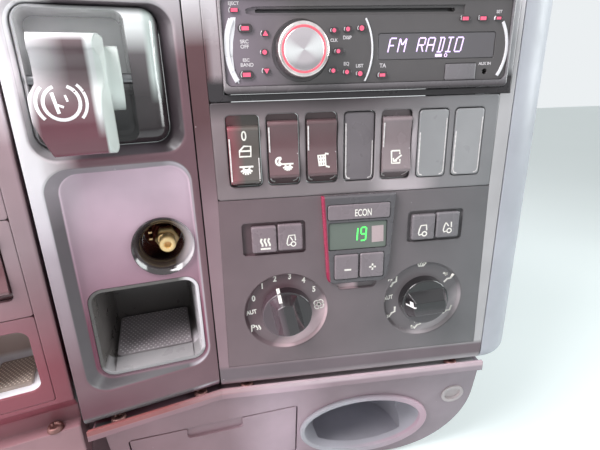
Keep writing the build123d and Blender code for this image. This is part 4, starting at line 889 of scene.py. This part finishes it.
# Lines of the display's characters on a grid of 2 by 4
glyph_table = {
    "F": [[(2, 4), (0, 4), (0, 0)], [(0, 2), (1.6, 2)]],
    "M": [[(0, 0), (0, 4), (1, 2), (2, 4), (2, 0)]],
    "R": [[(0, 0), (0, 4), (2, 4), (2, 2), (0, 2)], [(1, 2), (2, 0)]],
    "A": [[(0, 0), (0, 4), (2, 4), (2, 0)], [(0, 2), (2, 2)]],
    "D": [[(0.3, 0), (2, 0), (2, 4), (0.3, 4)], [(0.9, 0), (0.9, 4)]],
    "I": [[(0, 0), (2, 0)], [(1, 0), (1, 4)], [(0, 4), (2, 4)]],
    "O": [[(0, 0), (0, 4), (2, 4), (2, 0), (0, 0)]],
    "1": [[(1.6, 0), (1.6, 4)]],
    "9": [[(0, 0), (2, 0), (2, 4), (0, 4), (0, 2), (2, 2)]],
}


CORNER_GAP = 0.35  # of a line's width, left open at both of its ends


def segments(target, text, start, cell, pitch, lean, width):
    """Writes characters made of straight segments; cell is half a width and a quarter of a height."""
    for place, letter in enumerate(text):
        left = start[0] + place * pitch
        for line in glyph_table.get(letter, []):
            points = [(left + x * cell[0] + y * cell[1] * lean, start[1] + y * cell[1]) for x, y in line]
            for first, last in zip(points, points[1:]):
                along = (Vector(last) - Vector(first)).normalized() * width * CORNER_GAP
                target.stroke([Vector(first) + along, Vector(last) - along], width)


glow = Print(front, "radio_display")
segments(glow, "FM RADIO", (16.6, 138.4), (2.15, 2.1), pitch=6.35, lean=0.2, width=0.85)
glow.make("display_text", "glow_lavender")

# A bar and a ring under the text
status = Print(front, "radio_face", "radio_display")
status.fill([(48.4, 135.4), (53.0, 135.4), (53.0, 137.2), (48.4, 137.2)])
status.stroke(arc((55.6, 136.3), 0.9, 0, 337.5, 15), 0.5, closed=True)
status.make("display_marks", "glow_lavender")

# Climate display: two lit digits and, beside them, a pale pink patch that is a painted reflection
digits = Print(front, "climate_display")
segments(digits, "19", (-4.4, 12.2), (1.9, 2.5), pitch=5.6, lean=0.06, width=1.0)
digits.make("climate_digits", "glow_green")
pane = Print(front, "climate_display")
pane.fill([(9.8, 10.2), (18.6, 10.4), (18.2, 23.0), (9.4, 22.8)])
pane.make("climate_pane", "pink_reflection")

# Climate legends: the top key's word, a minus and a plus on the keys under the display
legend = Print(front, "climate_panel", "econ_key", "temp_keys", "vent_keys_left", "vent_keys_right")
legend.letters("ECON", (2.6, 33.6), 5.2, spread=0.62, bold=0.12)
minus_right, minus_up = -8.3, -9.6
plus_right, plus_up = 10.4, -8.6
bar_half = 2.6
legend.stroke([(minus_right - bar_half, minus_up), (minus_right + bar_half, minus_up)], 1.4)
legend.stroke([(plus_right - bar_half, plus_up), (plus_right + bar_half, plus_up)], 1.3)
legend.stroke([(plus_right, plus_up - bar_half), (plus_right, plus_up + bar_half)], 1.3)

# columns: text, right, up of the fan dial's figures
figure_table = [
    ("0", -78.6, -30.9),
    ("1", -71.6, -21.2),
    ("2", -62.0, -16.0),
    ("3", -50.8, -15.0),
    ("4", -40.4, -19.0),
    ("5", -32.6, -27.3),
]
for text, right, up in figure_table:
    legend.letters(text, (right, up), 4.6, spread=0.8, bold=0.26)
for right, up in ((-80.8, -42.4), (26.4, -40.4)):
    legend.letters("AUT", (right, up), 3.5, turn=8, spread=0.82, bold=0.2)


def petals(count, inner, outer):
    """Loops round a middle, as in a fan symbol."""
    loops = []
    for k in range(count):
        turn = 2 * pi * k / count + pi / count
        middle = ((inner + outer) / 2 * cos(turn), (inner + outer) / 2 * sin(turn))
        loop = arc(middle, (outer - inner) / 2, 0, 360, 10)
        loops.append(loop[:-1] + [loop[0]])
    return loops


legend.drawing((-28.9, -40.5), 1.0, petals(count=4, inner=0.3, outer=4.3), turn=10, width=0.9)

# Parking heater: a letter P beside two waves of warm air
wave = [(0.5 * sin(k * pi / 4), -1.8 + 0.5 * k) for k in range(8)]
parking_heater = [
    [(-2.6, -1.9), (-2.6, 1.9), (-1.2, 1.9), (-0.7, 1.2), (-1.2, 0.3), (-2.4, 0.3)],
    [(x + 0.7, y) for x, y in wave],
    [(x + 2.4, y) for x, y in wave],
]
legend.drawing((-78.3, -55.9), 1.2, parking_heater, width=1.2)

# Seated figure of the air dial: a back, a seat and a leg, and arrows where the air goes
sitter = [[(2.2, 2.6), (1.9, -0.2), (0.2, -0.7), (-1.2, -2.6)]]
to_face = [[(-2.6, 2.4), (-0.6, 1.6)], [(-0.9, 2.5), (-0.6, 1.6), (-1.5, 1.2)]]
to_feet = [[(-2.9, -0.6), (-1.9, -2.0)], [(-2.9, -1.9), (-1.9, -2.0), (-1.7, -1.1)]]
# columns: right, up, turn, the parts of the symbol
air_table = [
    (74.2, -27.0, -8, sitter + to_face),
    (75.9, -55.6, -12, sitter + to_face[:1]),
    (51.6, -66.8, 0, sitter + to_face + to_feet),
    (29.3, -53.4, 6, sitter + to_feet),
    (29.4, -26.8, 8, sitter + to_face),
]
for right, up, turn, parts in air_table:
    legend.drawing((right, up), 1.6, parts, turn=turn, width=1.6)

# Windscreen with two jets of air, over the air dial
screen_top = [(-3.4, 1.2), (-1.8, 2.0), (0, 2.3), (1.8, 2.0), (3.4, 1.2)]
screen_outline = screen_top + [(1.9, -1.6), (-1.9, -1.6), (-3.4, 1.2)]
jets = [[(x, -1.4), (x, 1.2)] for x in (-1.0, 1.0)]
legend.drawing((51.9, -13.6), 1.0, [screen_outline] + jets, width=1.3)

# Keys: warm air, and three cabs with a wheel: one with air inside, one closed and one open
warm_wave = [(0.55 * sin(0.5 + k * pi / 4), -2.6 + 0.75 * k) for k in range(9)]
warm_air = [[(x + s, y) for x, y in warm_wave] for s in (-2.6, 0, 2.6)] + [[(-3.6, -4.4), (3.6, -4.4)]]
cab = [(-0.6, -3.4), (-2.6, -4.0), (-3.2, -2.6), (-2.6, 0.6), (-1.6, 3.4), (2.6, 3.6), (3.0, -0.6)]
wheel = arc((1.4, -3.2), 1.7, 0, 360, 12)
wheel[-1] = wheel[0]
open_cab = [cab[:5], cab[5:], [(-1.6, 3.4), (0.8, 0.4)]]
legend.drawing((-67.5, 15.0), 1.0, warm_air, width=1.4)
legend.drawing((-49.0, 16.0), 1.0, [cab, wheel, [(-0.8, 2.4), (1.0, -0.6)]], width=0.9)
legend.drawing((49.0, 16.4), 1.0, [cab, wheel], width=1.1)
legend.drawing((68.2, 17.6), 1.0, open_cab + [wheel], width=1.0)
legend.make("climate_legends", "print_white")

# Mark on the fan dial's bar
marks = Print(front, "fan_dial")
marks.stroke([(-60.4, -22.6), (-59.8, -25.8), (-59.2, -29.4)], 2.4)
marks.make("dial_marks", "print_white")

# Rocker legends: parts of the signs about their own middles, then where each stands
switch_pitch, switch_z = 26.0, 79.4
lamp_turns = [radians(-150 + 24 * k) for k in range(6)]
lamp_rays = [[(1.2 * cos(t), 1.2 * sin(t)), (3.4 * cos(t), 3.4 * sin(t))] for t in lamp_turns]
lamp = [[(-4.6, 0.9), (4.6, 0.9)], arc((0, 0.9), 2.2, 180, 360, 8)] + [
    [(x * 1.3, y * 1.3) for x, y in ray] for ray in lamp_rays
]
door = [(-3.8, -3.4), (3.6, -3.4), (3.8, 3.2), (-0.6, 3.4), (-3.6, 0.4), (-3.8, -3.4)]
moon = arc((0, 0), 2.4, 60, 300, 10) + [(-0.3, -0.6), (0.2, 1.0), (1.2, 2.08)]
blind = [
    [(-2.4, 3.0), (2.0, 3.2), (2.2, -3.0), (-1.8, -3.2), (-2.4, 3.0)],
    [(-0.8, 3.0), (-0.6, -3.0)],
    [(0.8, 3.0), (0.9, -3.0)],
    [(-2.2, 1.0), (2.0, 1.2)],
    [(-2.0, -1.0), (2.0, -0.8)],
    [(2.0, 4.0), (4.2, 3.6)],
    [(2.2, -3.6), (4.6, -4.2)],
]
way_out = [
    [(-2.8, 3.8), (2.6, 3.8), (2.6, 1.6)],
    [(2.6, -1.4), (2.6, -3.8), (-2.8, -3.8), (-2.8, 3.8)],
    [(3.8, 1.0), (-1.2, -2.6)],
    [(-1.6, -0.6), (-1.4, -2.7), (0.8, -2.4)],
]
icons = Print(front, "switch_rocker_1", "switch_rocker_2", "switch_rocker_3", "switch_rocker_5")
icons.letters("0", (-3 * switch_pitch + 0.4, switch_z + 10.4), 6.4, spread=0.8, bold=0.16)
# columns: place in the row from its middle, right, up, scale, strokes, width
icon_table = [
    (-3, 0.6, 0.6, 1.0, [door, [(-3.2, 0.2), (3.6, 0.2)]], 1.15),
    (-3, 0.8, -10.4, 1.0, lamp, 1.15),
    (-2, -3.0, -7.0, 1.0, [moon], 1.5),
    (-2, 2.4, -9.6, 0.85, lamp, 1.05),
    (-1, -0.2, -7.6, 1.1, blind, 1.15),
    (1, -0.4, -7.8, 1.1, way_out, 1.15),
]
for place, right, up, scale, strokes, width in icon_table:
    icons.drawing((place * switch_pitch + right, switch_z + up), scale, strokes, width=width)
icons.make("switch_icons", "print_white")

# Painted highlights along the switches' edges: at the left and at the right, each round its lower corner
# columns: node, where the left edge starts, where the right edge ends
edge_table = [
    ("switch_rocker_1", 9.0, -4.0),
    ("switch_rocker_2", 15.5, -2.0),
    ("switch_rocker_3", 15.5, -2.0),
    ("switch_blank_4", 16.0, 4.0),
    ("switch_rocker_5", 15.5, -2.0),
    ("switch_blank_6", 8.0, 17.0),
    ("switch_blank_7", 8.0, 17.0),
]
left_inset, right_inset, foot_inset = 1.5, 1.4, 1.6
round_corner = [(0, 3.0), (0.8, 0.8), (3.0, 0)]  # right of the left edge and up from the foot
for node, left_top, right_top in edge_table:
    low, high = (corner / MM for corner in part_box(node))
    left, right, foot = low.x + left_inset, high.x - right_inset, low.z + foot_inset
    left_corner = [(left + x, foot + y) for x, y in round_corner]
    right_corner = [(right - x, foot + y) for x, y in reversed(round_corner)]
    edge = Print(front, node)
    edge.stroke([(left, switch_z + left_top)] + left_corner, 0.9)
    edge.stroke(right_corner + [(right, switch_z + right_top)], 0.6)
    edge.make(f"{node}_edges", "edge_shine")

# Worn parking brake sign on the lever: a broken ring, a bracket on both sides and a slanting figure
sign = Print(column, "brake_lever")
sign_middle = (-69.5, 115.5)
# columns: radius, start, end, steps, width
sign_arcs = [
    (8.6, 112, 428, 28, 1.7),
    (11.8, 138, 222, 14, 1.7),
    (11.8, -44, 48, 14, 1.5),
]
for radius, start, end, steps, width in sign_arcs:
    sign.stroke(arc(sign_middle, radius, start, end, steps), width)
# columns: first point, step to the next one, points, width
sign_lines = [
    ((-73.6, 120.6), (0.3, -1.5), 8, 1.7),
    ((-71.6, 114.4), (0.9, -0.4), 4, 1.2),
    ((-67.6, 119.2), (0.3, -1.1), 4, 1.1),
]
for (right, up), (to_right, to_up), count, width in sign_lines:
    sign.stroke([(right + to_right * k, up + to_up * k) for k in range(count)], width)
sign.make("lever_sign", "print_lever", "brake_lever")

# Pale floor, a little below the console, that also shines a little where the camera sees it
ground_size = 8.0
ground_gap = 0.002
ground_colour = (214, 222, 222)
cloud_size, cloud_shade, shine = 400, 0.97, 0.5
tree, shader, where = new_material("ground_pale")
cloud = vary(tree, noise(tree, where, cloud_size), 0.0, 1.0)
clouded = mix(tree, cloud, screen(*ground_colour), screen(*(v * cloud_shade for v in ground_colour)))
glow = times(tree, add(tree, "ShaderNodeLightPath").outputs["Is Camera Ray"], shine)
feed(tree, shader, [("Base Color", clouded), ("Roughness", 0.8)])
feed(tree, shader, [("Emission Color", screen(*ground_colour)), ("Emission Strength", glow)])
ground_mesh = bpy.data.meshes.new("ground")
half = ground_size / 2
ground_z = cad_low.z - ground_gap
corners = [(-half, -half, ground_z), (half, -half, ground_z), (half, half, ground_z), (-half, half, ground_z)]
ground_mesh.from_pydata(corners, [], [(0, 1, 2, 3)])
ground = bpy.data.objects.new("ground", ground_mesh)
ground.data.materials.append(materials["ground_pale"])
scene.collection.objects.link(ground)

# Light: soft lamps above, at the left, close to the left column and at the right, and a pale surround
# columns: name, place, aim, size, power, colour
lamp_table = [
    ("windscreen", (-0.55, -0.45, 0.75), (-0.1, -0.15, 0.0), (0.5, 0.5), 12.0, (1.0, 0.97, 0.99)),
    ("left_window", (-0.85, -0.55, 0.15), (-0.1, -0.15, 0.0), (0.25, 0.7), 2.5, (1.0, 0.97, 0.98)),
    ("left_glare", (-0.36, -0.36, 0.3), (-0.16, -0.12, 0.09), (0.12, 0.16), 0.1, (1.0, 1.0, 1.0)),
    ("right_window", (0.85, -0.32, 0.3), (0.0, -0.15, 0.0), (0.4, 0.6), 6.0, (0.95, 1.0, 1.0)),
]
for name, place, aim, size, power, colour in lamp_table:
    light = bpy.data.lights.new(name, "AREA")
    light.shape = "RECTANGLE"
    light.size, light.size_y = size
    light.energy = power
    light.color = colour
    holder = bpy.data.objects.new(name, light)
    holder.location = place
    holder.rotation_mode = "QUATERNION"
    holder.rotation_quaternion = (Vector(aim) - Vector(place)).to_track_quat("-Z", "Y")
    scene.collection.objects.link(holder)

world = bpy.data.worlds.new("surround")
scene.world = world
world.use_nodes = True
tree = world.node_tree
path = add(tree, "ShaderNodeLightPath").outputs
seen = path["Is Camera Ray"]
for kind in ("Is Glossy Ray", "Is Transmission Ray"):
    seen = add(tree, "ShaderNodeMath", [(0, seen), (1, path[kind])], operation="MAXIMUM").outputs[0]
surround = tree.nodes["Background"]
light_cast, light_seen = 0.32, 1.0
strength = ramp(tree, seen, 0, 1, light_cast, light_seen)
surround_colour = screen(236, 240, 242)
feed(tree, surround, [("Color", surround_colour), ("Strength", strength)])

# Camera: its place in millimetres, and its turn, tilt and roll in degrees
camera_place = (-77.4, -445.35, 122.9)
camera_turn, camera_tilt, camera_roll = -7.145, 18.913, -1.581
focal_px, frame_px, sensor_mm = 420.0, 600.0, 36.0
axes = Matrix(((1, 0, 0), (0, 0, -1), (0, 1, 0)))  # rows: to the right, down and ahead
for angle, axis in ((camera_turn, "Y"), (camera_tilt, "X"), (camera_roll, "Z")):
    axes = Matrix.Rotation(radians(angle), 3, axis) @ axes
view = bpy.data.cameras.new("camera")
view.sensor_width = sensor_mm
view.lens = focal_px / frame_px * sensor_mm
view.clip_start = 0.01
camera = bpy.data.objects.new("camera", view)
pose = Matrix((axes[0], -axes[1], -axes[2])).transposed().to_4x4()
camera.matrix_world = Matrix.Translation(Vector(camera_place) * MM) @ pose
scene.collection.objects.link(camera)
scene.camera = camera
scene.view_settings.view_transform = "Standard"
